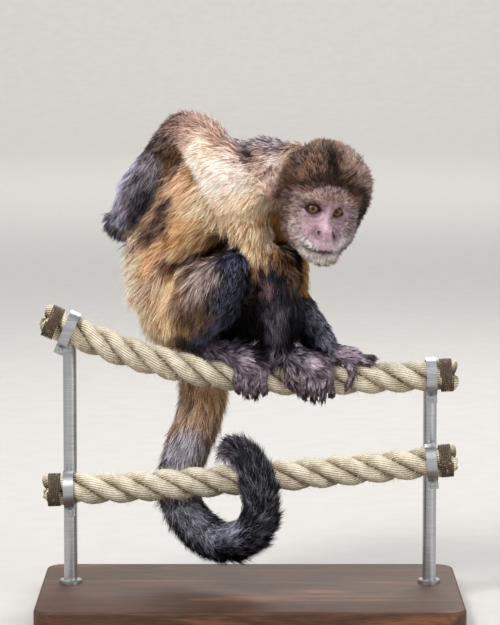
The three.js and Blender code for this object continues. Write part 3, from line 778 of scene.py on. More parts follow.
# Folds of the face: a line, its width and how far it stands out, in mm.
FOLDS = (
    (MOUTH, 0.9, -1.6), ([(x, y + 2.8) for x, y in MOUTH], 2.0, 0.5),
    ([(x, y - 2.6) for x, y in MOUTH[1:5]], 1.5, 0.8), ([(x, y - 5.8) for x, y in MOUTH[1:5]], 1.3, -0.7),
    (((-8, -16), (-11.5, -21), (-13.5, -29)), 1.4, -0.8),
    (((12.5, -16), (16, -21), (17.5, -29)), 1.4, -0.8),
    (((-17, -8.5), (-11, -11.3), (-5, -10.6), (-2, -7.5)), 0.8, -0.7),
    (((20.5, -8.5), (15, -11.3), (9, -10.6), (6, -7.5)), 0.8, -0.7),
    (((-16, -12.5), (-10, -15), (-5, -14)), 1.1, -0.45), (((19.5, -12.5), (14, -15), (9, -14)), 1.1, -0.45),
    (((-0.5, 3), (-1, 10)), 0.7, -0.6), (((3.6, 3), (4.2, 10)), 0.7, -0.6),
    (((1.5, 4), (1.6, 9)), 1.0, 0.35),
    (((-16, 11), (-6, 10), (2, 11), (10, 10), (20, 11)), 0.8, -0.45),
    (((-14, 14.5), (-5, 13.5), (9, 13.5), (18, 14.5)), 0.8, -0.4),
    (((1.2, 1), (1.6, -8), (2, -15)), 1.5, 0.6), (((2, -22.5), (2.2, -27.5)), 0.8, -0.5),
    (((-3, -24), (-6, -29)), 1.0, 0.3), (((7.5, -24), (10.5, -29)), 1.0, 0.3))
NOSTRILS = (((-5.0, -18.0), (-5.4, -18.6)), ((7.6, -17.4), (8.8, -20.6)))

head_points = to_head(skin_points)
chosen = np.flatnonzero(bare > 0.002)
p = head_points[chosen]
rays = p - FACE_MIDDLE
reach = np.linalg.norm(rays, axis=1)
rays /= reach[:, None]
inner, outer = np.zeros(len(p)), np.full(len(p), FACE_REACH)
for _ in range(HALVINGS):
    middle = (inner + outer) / 2
    inside = face_distance(FACE_MIDDLE + rays * middle[:, None]) < 0
    inner, outer = np.where(inside, middle, inner), np.where(inside, outer, middle)
target = inner.copy()
for line, width, height in FOLDS:
    target += height * stroke(p, line, width)
for line in NOSTRILS:
    target += 0.8 * stroke(p, line, 2.8) - 4.8 * stroke(p, line, 1.3)
weight = smoothstep(0.0, 0.6, bare[chosen])
p = FACE_MIDDLE + rays * (reach + (target - reach) * weight)[:, None]
head_points[chosen] = p

# Eyelids: they wrap the eyeball round an almond opening that looks where the eye does. All in mm.
LID_THICK, LID_OFF_EYE, EYE_DEPTH = 0.9, 0.5, 1.4
LID_HALF, LID_RISE, LID_FALL = 7.6, 4.3, 3.9
LID_ASIDE = {"eye_right": 0.0, "eye_left": -1.5}
LID_TILT = {"eye_right": 0.03, "eye_left": 0.14}
LOOK_ASIDE = {"eye_right": 0.1, "eye_left": -0.42}
camera_place = np.array(camera.location)
lid_edge = np.full(count, 9.0)
gaze = {}
for side, (name, centre) in zip((-1, 1), eye_centres.items()):
    look = unit(camera_place - centre + [LOOK_ASIDE[name], 0, 0])
    look_head = head_axes @ look
    right = unit(np.cross([0, 1, 0], look_head))
    upward = np.cross(look_head, right)
    gaze[name] = look
    eye = to_head(centre[None])[0]
    offset = head_points - eye
    away = np.linalg.norm(offset, axis=1)
    direction = offset / away[:, None]
    ahead = direction @ look_head
    # Over the eyeball: how far aside and up, and how far outside the opening.
    u = np.arctan2(direction @ right, ahead) * EYE_RADIUS / MM * side - LID_ASIDE[name]
    v = np.arctan2(direction @ upward, ahead) * EYE_RADIUS / MM + LID_TILT[name] * u
    span = np.clip(1 - (u / LID_HALF) ** 2, 0, 1)
    above = v - LID_RISE * span ** 0.62 * (1 + 0.05 * u / LID_HALF)
    below = -LID_FALL * span ** 0.75 - v
    edge = np.maximum(np.maximum(above, below), (np.abs(u) - LID_HALF) * 0.8)
    front = (away < 17) & (ahead > 0.2) & (is_head > 0.3)
    lid_edge = np.where(front, np.minimum(lid_edge, edge), lid_edge)
    # The lid with its rim and the fold above it, blended into the face, and the opening between the rims.
    cover = EYE_RADIUS / MM + LID_THICK + 0.25 * np.exp(-((edge - 0.7) / 0.7) ** 2)
    cover = cover - 0.45 * np.exp(-((edge - 2.6) / 0.6) ** 2) * (v > 0)
    grip = smoothstep(6.0, 2.0, edge)
    lid = np.maximum(away, cover) * grip + away * (1 - grip)
    lid = np.maximum(lid, EYE_RADIUS / MM + LID_OFF_EYE)
    lid = np.where(edge < 2.5, cover * smoothstep(2.5, 1.2, edge) + lid * smoothstep(1.2, 2.5, edge), lid)
    opened = smoothstep(0.25, -0.25, edge)
    away = np.where(front, lid * (1 - opened) + (EYE_RADIUS / MM - EYE_DEPTH) * opened, away)
    head_points = eye + direction * away[:, None]
face_share = smoothstep(0.0, 0.3, bare)[:, None]
skin_points += (from_head(head_points) - skin_points) * face_share

# The lie and colours of the coat, held at every vertex and evened out across the joints. The hair
# grows from the skin by these values, and the skin under it is tinted by them.
coat = {field: from_coats(field, 12) for field in Coat._fields}
normals = skin_normals()

# How far the lie of each part's coat turns down, beside its way along the part.
DROPS = {"trunk_chest": 0.5, "trunk_loin": 0.35, "neck": 0.4, "thigh": 0.3}
SHOULDER_FAN = lines["neck"][0] + np.array([-8, 6, 20]) * MM
FACE_WHORL = np.array([1, -10, 12])
lie = np.array([unit(lines[name][1] - lines[name][0]) for name in FLESH])
for i, name in enumerate(FLESH):
    lie[i, 2] -= next((drop for key, drop in DROPS.items() if name.startswith(key)), 0)
lie = lie[owner]
fanned = smoothstep(0.15, 0.08, np.linalg.norm(skin_points - SHOULDER_FAN, axis=1))
fanned *= owned("neck", "trunk_chest", "upper_arm_right")
fan = unit(skin_points - SHOULDER_FAN) + np.array([-0.3, 0, -0.3])
lie += (fan - lie) * fanned[:, None]
radial = unit(to_head(skin_points) - FACE_WHORL) @ head_axes
lie = np.where((owner == FLESH.index("head"))[:, None], radial, lie)
coat["lie"] = spread(lie, 24)


def on(name, along, *way):
    """The skin vertex over a part's line, at a share of its length, toward a direction."""
    start, end = lines[name]
    offset = skin_points - (start + (end - start) * along)
    out = offset @ unit(np.array(way, float))
    beside = np.sqrt(np.maximum((offset ** 2).sum(1) - out ** 2, 0))
    return np.where((out > 0) & (owner == FLESH.index(name)), beside, 1).argmin()


def near(reach, *places):
    """Falls from 1 along a path over the skin to 0 at a reach in mm, on the side that the path is on."""
    path = skin_points[list(places)]
    best, side_of = np.full(count, 1e3), normals[places[0]] @ normals.T
    for i in range(max(len(path) - 1, 1)):
        run = path[min(i + 1, len(path) - 1)] - path[i]
        t = np.clip((skin_points - path[i]) @ run / max(run @ run, 1e-9), 0, 1)
        away = np.linalg.norm(skin_points - path[i] - t[:, None] * run, axis=1) / MM
        facing = normals @ (normals[places[i]] * 0.5 + normals[places[min(i + 1, len(places) - 1)]] * 0.5)
        side_of = np.where(away < best, facing, side_of)
        best = np.minimum(best, away)
    return smoothstep(reach * 1.35, reach * 0.45, best) * smoothstep(-0.25, 0.35, side_of)


def groom(weight, tone=None, **changes):
    """Moves the coat's values toward new ones where the weight is high. A tone is (dark, light, share)."""
    if tone:
        changes.update(zip(("dark", "light", "share"), tone))
    for field, value in changes.items():
        coat[field] += (number(value) - coat[field]) * weight[:, None]


def brush(reach, tone, *places, mask=1.0, **changes):
    """Grooms along a path of places, each a part, a share along its line and a direction."""
    groom(near(reach, *(on(*place) for place in places)) * mask, tone, **changes)


def within(*parts):
    """1 on some parts, evened out at their edges."""
    return spread(owned(*parts), 3)[:, 0]


# Right arm: cream on the outside, darker along its upper edge and grizzled over the elbow. The forearm
# is black, with a painted blue-grey sheen on its outer edge and on the back of the hand.
arm, fore, hand = "upper_arm_right", "forearm_right", "hand_right"
brush(12, ("#7c5a4c", "#d4b09e", 0.52), (arm, 0.1, 0.6, -0.2, 0.8), (arm, 0.5, 0.6, -0.2, 0.8),
      (arm, 0.95, 0.4, 0, 0.9))
brush(10, None, (arm, 0.8, 0.5, -0.2, 0.8), (arm, 0.5, 0.5, -0.2, 0.8), length=15, lift=40)
brush(16, ("#be8a5e", "#ffeede", 0.72), (arm, 0.5, -0.1, -0.8, 0.5), (arm, 0.25, -0.5, -0.8, 0.2),
      (arm, -0.12, -0.6, -0.8, 0))
brush(17, ("#7c5848", "#cca898", 0.52), (arm, 0.83, 0.2, -0.6, 0.8))
brush(14, ("#bc886a", "#ffeee0", 0.7), (arm, -0.31, -0.1, -0.8, 0.7), (arm, -0.01, 0.3, -0.5, 0.8))
brush(8, ("#6e4626", "#d0a478", 0.5), (arm, 0.85, -0.9, -0.4, 0), (arm, 0.5, -1, -0.3, -0.2),
      (arm, 0.3, -1, 0, -0.3))
# Painted shade in the hollow where the arm meets the neck.
brush(7.5, ("#22130f", "#6e5046", 0.3), (arm, 0.03, 0.8, -0.05, 0.7))
brush(22, ("#5a3e36", "#c29c90", 0.48), (arm, 1.13, 0.6, -0.3, 0.8), (arm, 1.1, 0, 0, 1),
      (arm, 1.0, -0.2, -0.3, 1), (fore, 0.0, -0.6, -0.5, 0.6), length=10, lift=42)
brush(15, None, (arm, 1.15, 0.1, 0, 1), (fore, 0.0, -0.6, -0.5, 0.6), lie=(-0.8, -0.25, -0.5))
brush(14, ("#1c1513", "#80706a", 0.42), (fore, 0.12, -0.4, -0.9, 0), (fore, 0.28, -0.8, -0.3, 0.4),
      length=10)
brush(9, ("#24160e", "#8e6a4c", 0.45), (fore, 0.12, -0.1, -1.0, -0.2), (fore, 0.3, 0, -0.9, -0.4))
brush(14, ("#1c191f", "#a89ca4", 0.45), (fore, 0.35, -0.5, -0.9, 0), (fore, 0.7, -0.5, -0.8, 0.1))
brush(9, ("#0c0a10", "#5a5664", 0.35), (fore, 0.5, 0, -0.9, -0.4), (fore, 0.75, -0.1, -0.9, -0.4))
# Painted blue-grey sheen along the outer edge of the forearm.
brush(10, ("#423e50", "#d0cce2", 0.6), (fore, 0.35, -1, 0, 0.3), (fore, 0.7, -0.8, -0.3, 0.4),
      (fore, 1.0, -0.9, -0.3, 0.3))
# Painted blue-grey sheen on the wrist and the back of the hand.
brush(13, ("#26232b", "#c4c0d2", 0.46), (fore, 0.95, -0.6, -0.8, 0.1), (hand, 0.2, -0.6, -0.8, 0.1),
      length=10, lift=26)
brush(16, ("#141116", "#7c7884", 0.4), (hand, 0.7, -0.6, -0.8, -0.1), (hand, 1.0, -0.3, -0.8, -0.4),
      length=12, lift=36)

# Chest and flank: gold running down from the neck into a pale fringe, dark behind the elbow.
chest, loin = "trunk_chest", "trunk_loin"
brush(25, ("#b67038", "#ffe6c4", 0.68), (chest, 0.12, -0.3, -0.8, -0.2), (chest, 0.47, -0.5, -0.8, -0.1))
brush(30, None, (chest, 0.35, -0.6, -0.8, 0), (chest, 0.85, -0.6, -0.8, 0), (loin, 0.1, -0.8, -0.6, -0.1),
      lie=(-1, 0, -0.65))
brush(18, ("#9c5820", "#ffd09a", 0.58), (chest, 0.58, -0.6, -0.8, 0), (chest, 0.82, -0.6, -0.8, 0))
brush(19, ("#b46c30", "#ffecd0", 0.64), (loin, -0.08, -0.9, -0.4, -0.1), (loin, 0.3, -0.9, -0.4, -0.1),
      (loin, 0.6, -0.9, -0.4, -0.2), length=24, lift=34)
brush(14, ("#985a2c", "#fcc490", 0.62), (loin, -0.03, -0.4, -0.9, -0.2), (loin, 0.2, -0.5, -0.9, -0.1))
brush(16, ("#b66e34", "#ffe8c4", 0.64), (loin, 0.45, -0.8, -0.5, -0.2), (loin, 0.95, -0.9, -0.2, -0.4))
brush(13, ("#231511", "#8a6c60", 0.4), (chest, 0.58, -0.7, -0.5, 0.4), (chest, 0.74, -0.65, -0.65, 0.3),
      (chest, 0.85, -0.7, -0.6, 0.3))
brush(22, ("#4a3830", "#e2c8ba", 0.54), (loin, 0.13, 0.1, -1, -0.1), (loin, 0.3, -0.1, -1, -0.2),
      length=15, lie=(-0.6, 0.1, -1))
# Painted shadow: a narrow dark strip under the flank's lower edge, above the thigh.
brush(8, ("#1a0c04", "#70462a", 0.38), (chest, 0.84, -0.3, -0.9, -0.4), (loin, 0.06, -0.2, -1, -0.3),
      (loin, 0.25, -0.35, -1, -0.2), length=13)
brush(14, ("#1c1412", "#6a5850", 0.4), (chest, 0.73, 0.1, -0.7, -0.7), (chest, 0.62, 0.5, -0.5, -0.8),
      length=9, lift=12, lie=(-0.8, -0.2, -0.6))
brush(8, ("#8c5626", "#fcd4a4", 0.54), (chest, 0.76, -0.45, -0.9, -0.2), (chest, 0.6, -0.35, -0.9, -0.35),
      (chest, 0.5, 0, -0.8, -0.6), length=19, lift=24, lie=(-0.7, -0.2, -0.9))
brush(14, ("#a0642e", "#ffe0b8", 0.6), (chest, 0.27, -0.4, -0.9, -0.3), (chest, 0.17, 0, -0.7, -0.7),
      length=16, lift=26, lie=(-0.4, -0.2, -1))
brush(13, ("#8c5a34", "#f8d0a6", 0.58), (chest, 0.2, 0.3, -0.5, -0.8), (chest, 0.0, 0.5, -0.7, -0.5),
      (chest, -0.1, 0.6, -0.7, 0), length=10, lie=(-0.1, -0.3, -1))
brush(9, ("#b07c50", "#ffecd4", 0.72), (chest, 0.17, 0.3, -0.5, -0.8))
brush(12, ("#5c3418", "#dca46c", 0.54), ("upper_arm_left", 0.05, 0.7, -0.7, -0.2), length=17, lift=30,
      lie=(0.1, -0.3, -1))

# Back: dark grey-brown with pale tips, and a pale patch on the neck by the ear.
neck, ear = "neck", "ear_right"
brush(20, ("#32252a", "#c4b0b4", 0.46), (neck, 0.55, -0.1, 0.1, 1), (neck, 0.95, -0.2, -0.1, 1),
      (chest, 0.1, -0.3, 0.3, 1), length=9, lift=30)
brush(30, ("#2a1a12", "#94704e", 0.4), (chest, 0.3, -0.5, 0.7, 0.5), (chest, 0.8, -0.5, 0.8, 0.3),
      (loin, 0.5, -0.6, 0.8, 0), (loin, 0.9, -0.4, 1, -0.2))
brush(12, ("#8a6858", "#d8bcae", 0.58), (neck, 0.75, -0.5, -0.5, 0.7), (neck, 0.5, -0.6, -0.5, 0.6),
      (neck, 0.25, -0.6, -0.6, 0.5), length=9)
brush(8, ("#b09084", "#fff2ec", 0.78), (neck, 0.42, -0.5, -0.5, 0.7), length=9)
brush(8, ("#5c3e34", "#c0a09a", 0.46), (ear, 0.34, 0.5, -0.8, -0.3))
brush(6, ("#5e4034", "#c09a84", 0.5), (ear, 0.11, 0.2, -0.9, -0.2), length=9)
# Painted shade in the hollow where the neck meets the arm.
brush(6, ("#1a0f0d", "#6a5048", 0.3), (neck, 0.9, -0.5, -0.4, 0.8))

# Right thigh: grizzled beige over dark, hair lying from the knee back to the hip, golden-brown below
# and edged with the pale coat of the rump. The knee and shin are black, with a painted blue-grey sheen.
thigh, shin = "thigh_right", "shin_right"
own_leg = within(thigh, shin)
brush(34, None, (thigh, 0.3, -0.7, -0.6, 0.3), (thigh, 1.2, -0.7, -0.4, 0.6), mask=own_leg,
      lie=(-0.6, 0.1, -1))
brush(17, ("#3c281b", "#d0aa8c", 0.52), (thigh, 0.9, -0.6, -0.2, 0.8), (thigh, 0.4, -0.6, -0.2, 0.8),
      mask=own_leg)
brush(15, ("#4c3b36", "#e2cac0", 0.55), (thigh, 1.22, -0.4, -0.1, 0.9), (thigh, 0.95, -0.6, -0.2, 0.8),
      mask=own_leg)
brush(10, ("#301f16", "#a88c7a", 0.46), (thigh, 0.9, -0.6, -0.4, 0.6), (thigh, 0.65, -0.8, -0.4, 0.5),
      mask=own_leg)
brush(11, ("#4a2c16", "#c49a68", 0.52), (thigh, 0.11, -0.6, -0.5, 0), (thigh, 0.35, -0.8, -0.5, -0.1),
      (thigh, 0.4, -0.6, -0.7, -0.3), mask=own_leg)
brush(17, ("#b0682c", "#ffe0b8", 0.6), (thigh, 0.11, -0.4, -0.1, 0.9), (thigh, -0.07, -0.7, -0.4, 0.6),
      (thigh, 0.0, -0.7, -0.6, -0.4), (thigh, -0.32, -0.1, -0.3, -1), lie=(-0.35, 0, -1))
# Black down the front of the shin, with a painted blue-grey sheen.
brush(15, ("#12121c", "#6c6c86", 0.4), (shin, 0.06, 0, -1, -0.2), (shin, 0.5, -0.2, -0.9, -0.3),
      mask=own_leg)
brush(11, ("#24140c", "#8c6a52", 0.44), (thigh, 0.55, -0.7, -0.6, 0), (shin, -0.02, -1, -0.3, 0.1),
      (shin, -0.5, -0.9, 0.1, 0.5), mask=own_leg)
# Black over the knee, with a painted blue-grey sheen.
brush(20, ("#101118", "#686c82", 0.38), (thigh, 1.45, -0.1, 0, 1), (thigh, 1.59, -0.1, 0.1, 1),
      (thigh, 1.62, 0, -0.7, 0.7), (shin, -0.4, 0.6, -0.5, 0.4), mask=own_leg, length=8, lift=10,
      lie=(-0.2, -0.5, -1))
brush(15, ("#0c0a0c", "#4c4448", 0.34), (thigh, 0.16, -0.2, -0.3, -0.9), (loin, 0.82, 0.7, -0.7, 0))

# Left leg: mauve-brown inside, black behind, with long near-black hair between the legs and beside the arm,
# painted shade where the limbs hide the light.
thigh, shin = "thigh_left", "shin_left"
own_leg = within(thigh, shin)
brush(13, ("#0e0c12", "#524e60", 0.35), (thigh, 1.0, -0.7, -0.2, 0.6), (thigh, 1.14, -0.5, 0, 0.9),
      mask=own_leg, length=12, lie=(-0.1, -0.2, -1))
brush(10, ("#2a1a20", "#a88890", 0.52), (thigh, 0.93, -0.8, -0.4, 0.4), (shin, -0.04, -0.9, -0.4, -0.1),
      mask=own_leg)
brush(7.5, ("#2c1a10", "#a87850", 0.46), (thigh, 1.14, -0.5, 0, 0.9), (thigh, 1.16, 0.3, 0, 0.9),
      mask=own_leg, length=14)
brush(11, ("#1c1a20", "#888492", 0.47), (shin, 0.3, -0.3, -0.9, 0), (shin, 0.7, -0.3, -0.9, -0.2),
      mask=own_leg)
# Painted shade: long near-black hair under the left thigh, between the legs.
brush(18, ("#020101", "#120e10", 0.3), (thigh, 0.3, -0.5, -0.3, -0.9), (thigh, 0.6, -0.3, -0.5, -0.9),
      mask=own_leg, length=24, lift=42, lie=(0.1, -0.1, -1))
# Painted shade: long near-black hair on the outer side of the left shin, by the left arm.
brush(12, ("#030203", "#161216", 0.3), (shin, 0.3, 0.9, -0.2, 0), (shin, 0.8, 0.9, -0.2, 0), length=19,
      lift=42)

# Left arm: near-black inside, as painted shade, blue-grey down the front, golden-brown on the outside.
arm, fore = "upper_arm_left", "forearm_left"
# Painted shade: long near-black hair on the inside of the left forearm.
brush(12, ("#030203", "#161216", 0.3), (fore, 0.2, -0.9, -0.1, -0.3), (fore, 0.7, -0.9, -0.1, -0.3),
      length=19, lift=42)
brush(11, ("#1a1822", "#8c8c9c", 0.48), (fore, 0.5, -0.2, -0.5, 0.8), (fore, 0.95, -0.1, -0.5, 0.9))
brush(10, ("#64401c", "#b4884c", 0.52), (arm, 0.45, 1, 0, 0.3), (arm, 0.8, 0.9, 0.2, 0.4))

# Long black hair at the left heel and on the inside of the right foot.
brush(9, ("#040304", "#1a161a", 0.3), (shin, 0.9, -0.9, -0.3, 0), ("foot_left", 0.1, -0.8, -0.3, 0.5),
      length=20, lift=52, lie=(-0.6, -0.3, -0.6))
brush(10, ("#040304", "#2a2428", 0.3), ("foot_right", 0.4, 0.8, -0.3, 0.5),
      ("foot_right", 0.7, 0.8, -0.3, 0.5), length=15, lift=52)

# Feet and hands: black hair on the heel and instep, pale mauve on the knuckles, partly a painted
# highlight, and dark toward the tips.
# The hair of the toes leans toward the middle of each foot.
for foot, toe in (("foot_right", "toe_right_"), ("foot_left", "toe_left_")):
    brush(13, ("#241c23", "#a094a4", 0.44), (foot, 0.1, -0.1, -0.9, 0.4), (foot, 0.4, -0.1, -0.9, 0.5))
    # Pale mauve hair on the knuckles, partly a painted highlight.
    brush(7, ("#5a4852", "#dcc8d4", 0.55), (foot, 0.7, -0.4, -1, 0.1))
    for k, inward in zip((2, 3, 4, 5), (0.5, 0.2, -0.15, -0.5)):
        groom(within(f"{toe}{k}"), ("#241a1f", "#a4909a", 0.42), lie=(inward, 0, -1),
              length=8.5 - 10 * abs(inward), lift=10)
for name in DIGITS:
    brush(5, ("#3a2c32", "#c8b4be", 0.48), (name, 0.1, -0.1, -1, -0.1))
    brush(6, ("#1a1015", "#62525a", 0.36), (name, 0.98, 0, -1, 0))
brush(10, ("#44383f", "#c0aebb", 0.55), ("hand_left", 0.3, 0.2, -0.9, 0.3),
      ("hand_left", 0.8, 0.2, -0.9, 0.3))

# Tail: golden-brown at the root, then grizzled grey, then black with blue-grey streaks, paler at the tip.
brush(11, ("#5a4232", "#e4c2a6", 0.54), ("tail_1", 0.6, -0.8, -0.5, 0), ("tail_2", 0.3, -0.8, -0.5, 0))
brush(15, ("#2e2422", "#b8aaa4", 0.48), ("tail_2", 0.65, 0.8, -0.6, -0.2),
      ("tail_3", 0.15, 0.8, -0.5, 0.4))
brush(13, ("#38313a", "#d4ccd6", 0.54), ("tail_2", 0.5, 0, -0.9, 0.2), ("tail_2", 0.8, -0.7, -0.7, 0),
      ("tail_3", 0.3, -0.9, -0.4, 0.2))
brush(11, ("#201e24", "#9c9ca8", 0.5), ("tail_3", 0.78, -1, -0.1, 0), ("tail_4", 0.39, -0.7, -0.7, 0.1))
brush(9, ("#24242c", "#a8a8b8", 0.5), ("tail_4", 0.7, -0.4, -0.9, 0), ("tail_5", 0.3, -0.3, -0.9, -0.3))
brush(15, ("#5a4c54", "#eadeea", 0.62), ("tail_7", 0.4, -0.6, -0.7, 0), ("tail_7", 0.9, -0.5, -0.7, -0.3),
      ("tail_7", 1.0, -0.9, -0.3, -0.3), length=12, lie=(0.3, -0.3, -1))

# Head: a brown crown parted by a dark stripe, a dark brow band and sideburns, a painted grey sheen on its
# left.
on_head = (is_head > 0.3) * 1.0


def comb(line, reach, tone, **changes):
    """Grooms the head along a line drawn in front view, in mm."""
    weight = stroke(head_points, line, reach) * on_head * smoothstep(-50, -15, head_points[:, 2])
    groom(weight, tone, **changes)


# Painted grey sheen on the left of the crown.
comb(((20, 44), (29, 32), (33, 16)), 11, ("#3a2a25", "#caaea2", 0.5))
comb(((-16, 48), (-10, 34), (-12, 26)), 11, ("#20110a", "#98705a", 0.43), length=8, lift=34)
comb(((-6, 57), (-16, 50), (-24, 41), (-29, 31)), 7.5, ("#0a070b", "#54464e", 0.32))
comb(((-30, 22), (-30, 8)), 6, ("#2c1a12", "#7c5a48", 0.44))
comb(((-2, 60), (0, 45), (1, 33), (3, 21)), 4.6, ("#0a0402", "#302018", 0.25))
comb(((-24, 12), (-19, 14), (-12, 18.5), (-2, 21), (12, 20), (25, 13)), 5.8, ("#180a03", "#56301a", 0.28))
comb(((30, 10), (32, -5), (29, -20), (22, -33)), 4.5, ("#0a0604", "#302420", 0.25), length=7)
comb(((-29, 4), (-31, -8), (-27, -26), (-19, -40)), 5.5, ("#140a06", "#553c2e", 0.32), length=9)

# Face: pale fuzz that points away from the middle, white round the lips and chin, dark along the mouth.
groom(bare * on_head, length=1.5, width=0.2, lift=22, dark="#7c6266", light="#c8b2b8", share=0.5)
comb(((-22, 8), (-10, 11), (4, 12), (16, 11), (25, 6)), 4, ("#6a4c40", "#d2b2a6", 0.5), length=3.6,
     width=0.22, lift=26)
comb(((-23, 6), (-24, -8)), 4, ("#4a3a34", "#bca496", 0.44), length=5.5, width=0.22, lift=30)
comb(((-21.5, -15), (-20, -23), (-14, -32)), 3.8, ("#6c544e", "#e2d0c6", 0.5), length=5.5, width=0.2,
     lift=28)
comb(((23, 2), (24, -10), (20, -24)), 4.5, ("#2e2220", "#b4a29c", 0.4), length=5, width=0.22, lift=26)
comb(((-15, -26), (-10, -28), (-5, -30)), 3.2, ("#98828a", "#faf2f4", 0.6), length=3.2, width=0.2)
comb(((18, -23), (14, -27), (10, -30)), 3.2, ("#948088", "#faf4f8", 0.62), length=3.2, width=0.2)
comb([(x, y + 1.4) for x, y in MOUTH], 2.4, ("#180a0b", "#8a747a", 0.26), length=2.6, width=0.26)
comb(((-14, -36), (-7, -38.4), (2, -39.4), (11, -37.4)), 3.4, ("#948078", "#fbf4ee", 0.66), length=4,
     width=0.22)

comb(((-15, -41), (0, -45.5), (14, -41)), 4, ("#54463c", "#c8b8aa", 0.5), length=4.5, width=0.26)

# The skin's tint: washes on the bare face, as lines, widths, colours and strengths, some of them painted
# shade and highlights, with its creases darkened as painted shade and its lid rims darker. Elsewhere it is
# half as bright as the hair over it.
FACE_SKIN = "#a68790"
CREASE_SHADE, RIM_COLOUR = 0.45, "#220d0c"
FACE_TINTS_AND_SHADE = (
    (((-20, 13), (0, 14), (22, 13)), 7, "#80605a", 0.8),
    # Painted shade down the face's left side, away from the key lamp.
    (((24, 8), (25, -8), (22, -24)), 8, "#5c4848", 0.85),
    (((-22, -2), (-20, -22)), 6, "#a08080", 0.7), (((1.4, 6), (1.6, -6)), 2.2, "#7e5e66", 0.5),
    # The first wash is the right cheek's colour; the second, on the left cheek, is painted shade.
    (((-12, -13), (-9, -20)), 4, "#8e6a6e", 0.6), (((13, -12), (14, -20)), 4.5, "#745a5e", 0.7),
    # Painted shade down the left side of the nose, then a painted highlight down its bridge.
    (((6, -4), (7.5, -14)), 2.4, "#7c5c64", 0.6), (((0.2, -2), (0.4, -13)), 2.2, "#c0a2ae", 0.7),
    # A painted highlight on the tip of the nose comes first.
    (((-1.5, -15), (3, -16)), 2.6, "#bc96a0", 0.6), (((1, -24), (2, -30)), 4, "#a88c96", 0.6),
    # Painted shade round the wings of the nose, under it and beside the right nostril.
    (((-6.8, -14), (-9.4, -18), (-7.6, -22.4)), 1.5, "#805a62", 0.75),
    (((9.6, -14), (11.8, -18.4), (10, -23)), 1.6, "#5e444c", 0.8),
    (((-6, -22.8), (1, -24.2), (8, -23)), 1.4, "#7e606a", 0.65),
    (((-3, -21), (-2.2, -17.4), (-4, -15.4)), 0.9, "#8c6a74", 0.5),
    # Darker under the eyes; under the left eye it is deepened as painted shade.
    (((-9, -8), (-16, -9)), 3, "#86646c", 0.6), (((12, -9), (19, -9)), 3, "#664e56", 0.7),
    (MOUTH, 1.7, "#341e22", 0.92), (((-8, -38), (2, -39), (12, -37)), 3, "#bca6ac", 0.8),
    # Painted shade fills the nostrils.
    (NOSTRILS[0], 2.0, "#0e0506", 1.0), (NOSTRILS[1], 1.8, "#0e0506", 1.0),
    # Painted shade in the creases at the outer corners of the eyes.
    (((-17.5, 2), (-20, 4.5)), 1.4, "#2e1c1e", 0.85), (((21.5, 0), (24, 1.5)), 1.2, "#2e1c1e", 0.7))
face_tint_and_shade = np.tile(number(FACE_SKIN), (count, 1))
for line, reach, colour, amount in FACE_TINTS_AND_SHADE:
    face_tint_and_shade += (number(colour) - face_tint_and_shade) * stroke(head_points, line, reach)[:, None] * amount
# Painted shade along the sunken folds.
for line, reach, height in FOLDS:
    sunk = min(max(-height, 0), 1)
    face_tint_and_shade *= 1 - CREASE_SHADE * sunk * stroke(head_points, line, reach * 1.2)[:, None]
lid_rim = np.exp(-(lid_edge / 1.3) ** 2)[:, None]
face_tint_and_shade += (number(RIM_COLOUR) - face_tint_and_shade) * lid_rim * 0.97
skin_colour = (coat["dark"] + (coat["light"] - coat["dark"]) * coat["share"]) * 0.5
skin_colour += (face_tint_and_shade - skin_colour) * smoothstep(0.2, 0.8, bare)[:, None]

# Silicone skin, tinted in the cast: soft and slightly moist, mottled in patches of 4 mm. Its creases are
# drawn about 1 mm apart, coarser than in life, so that they show.
skin_finish, tree, shader = material("tinted_silicone_skin")
place = add(tree, "TexCoord").outputs["Object"]
tint_and_shade = add(tree, "Attribute", attribute_name="tint_and_shade").outputs["Color"]
mottle = add(tree, "TexNoise", {"Vector": place, "Scale": 1 / 0.004, "Detail": 5.0}).outputs["Fac"]
crease = add(tree, "TexVoronoi", {"Vector": place, "Scale": 1 / 0.0011}).outputs["Distance"]
shade = add(tree, "MapRange", {"Value": mottle, "To Min": 0.75, "To Max": 1.25}).outputs["Result"]
tinted = add(tree, "VectorMath", {0: tint_and_shade, 1: shade}, operation="MULTIPLY").outputs["Vector"]
relief = add(tree, "Bump", {"Height": crease, "Distance": 0.0003, "Strength": 0.5})
finish_shader(tree, shader, Base_Color=tinted, Roughness=0.52, Specular_IOR_Level=0.4,
              Normal=relief.outputs["Normal"])

skin_mesh.polygons.foreach_set("use_smooth", [True] * len(skin_mesh.polygons))
skin_mesh.materials.clear()
skin_mesh.materials.append(skin_finish)
hold(skin_mesh, "tint_and_shade", np.hstack([skin_colour, np.ones((count, 1))]))
skin = placed("skin", skin_mesh)
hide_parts(*FLESH)
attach(skin, "root")


# ---- Eyes --------------------------------------------------------------------------------------------
# Glass eyes as a taxidermist sets them: a clear dome over an amber iris with fine spokes, a dark rim and
# a small pupil, both turned to look at the same place.

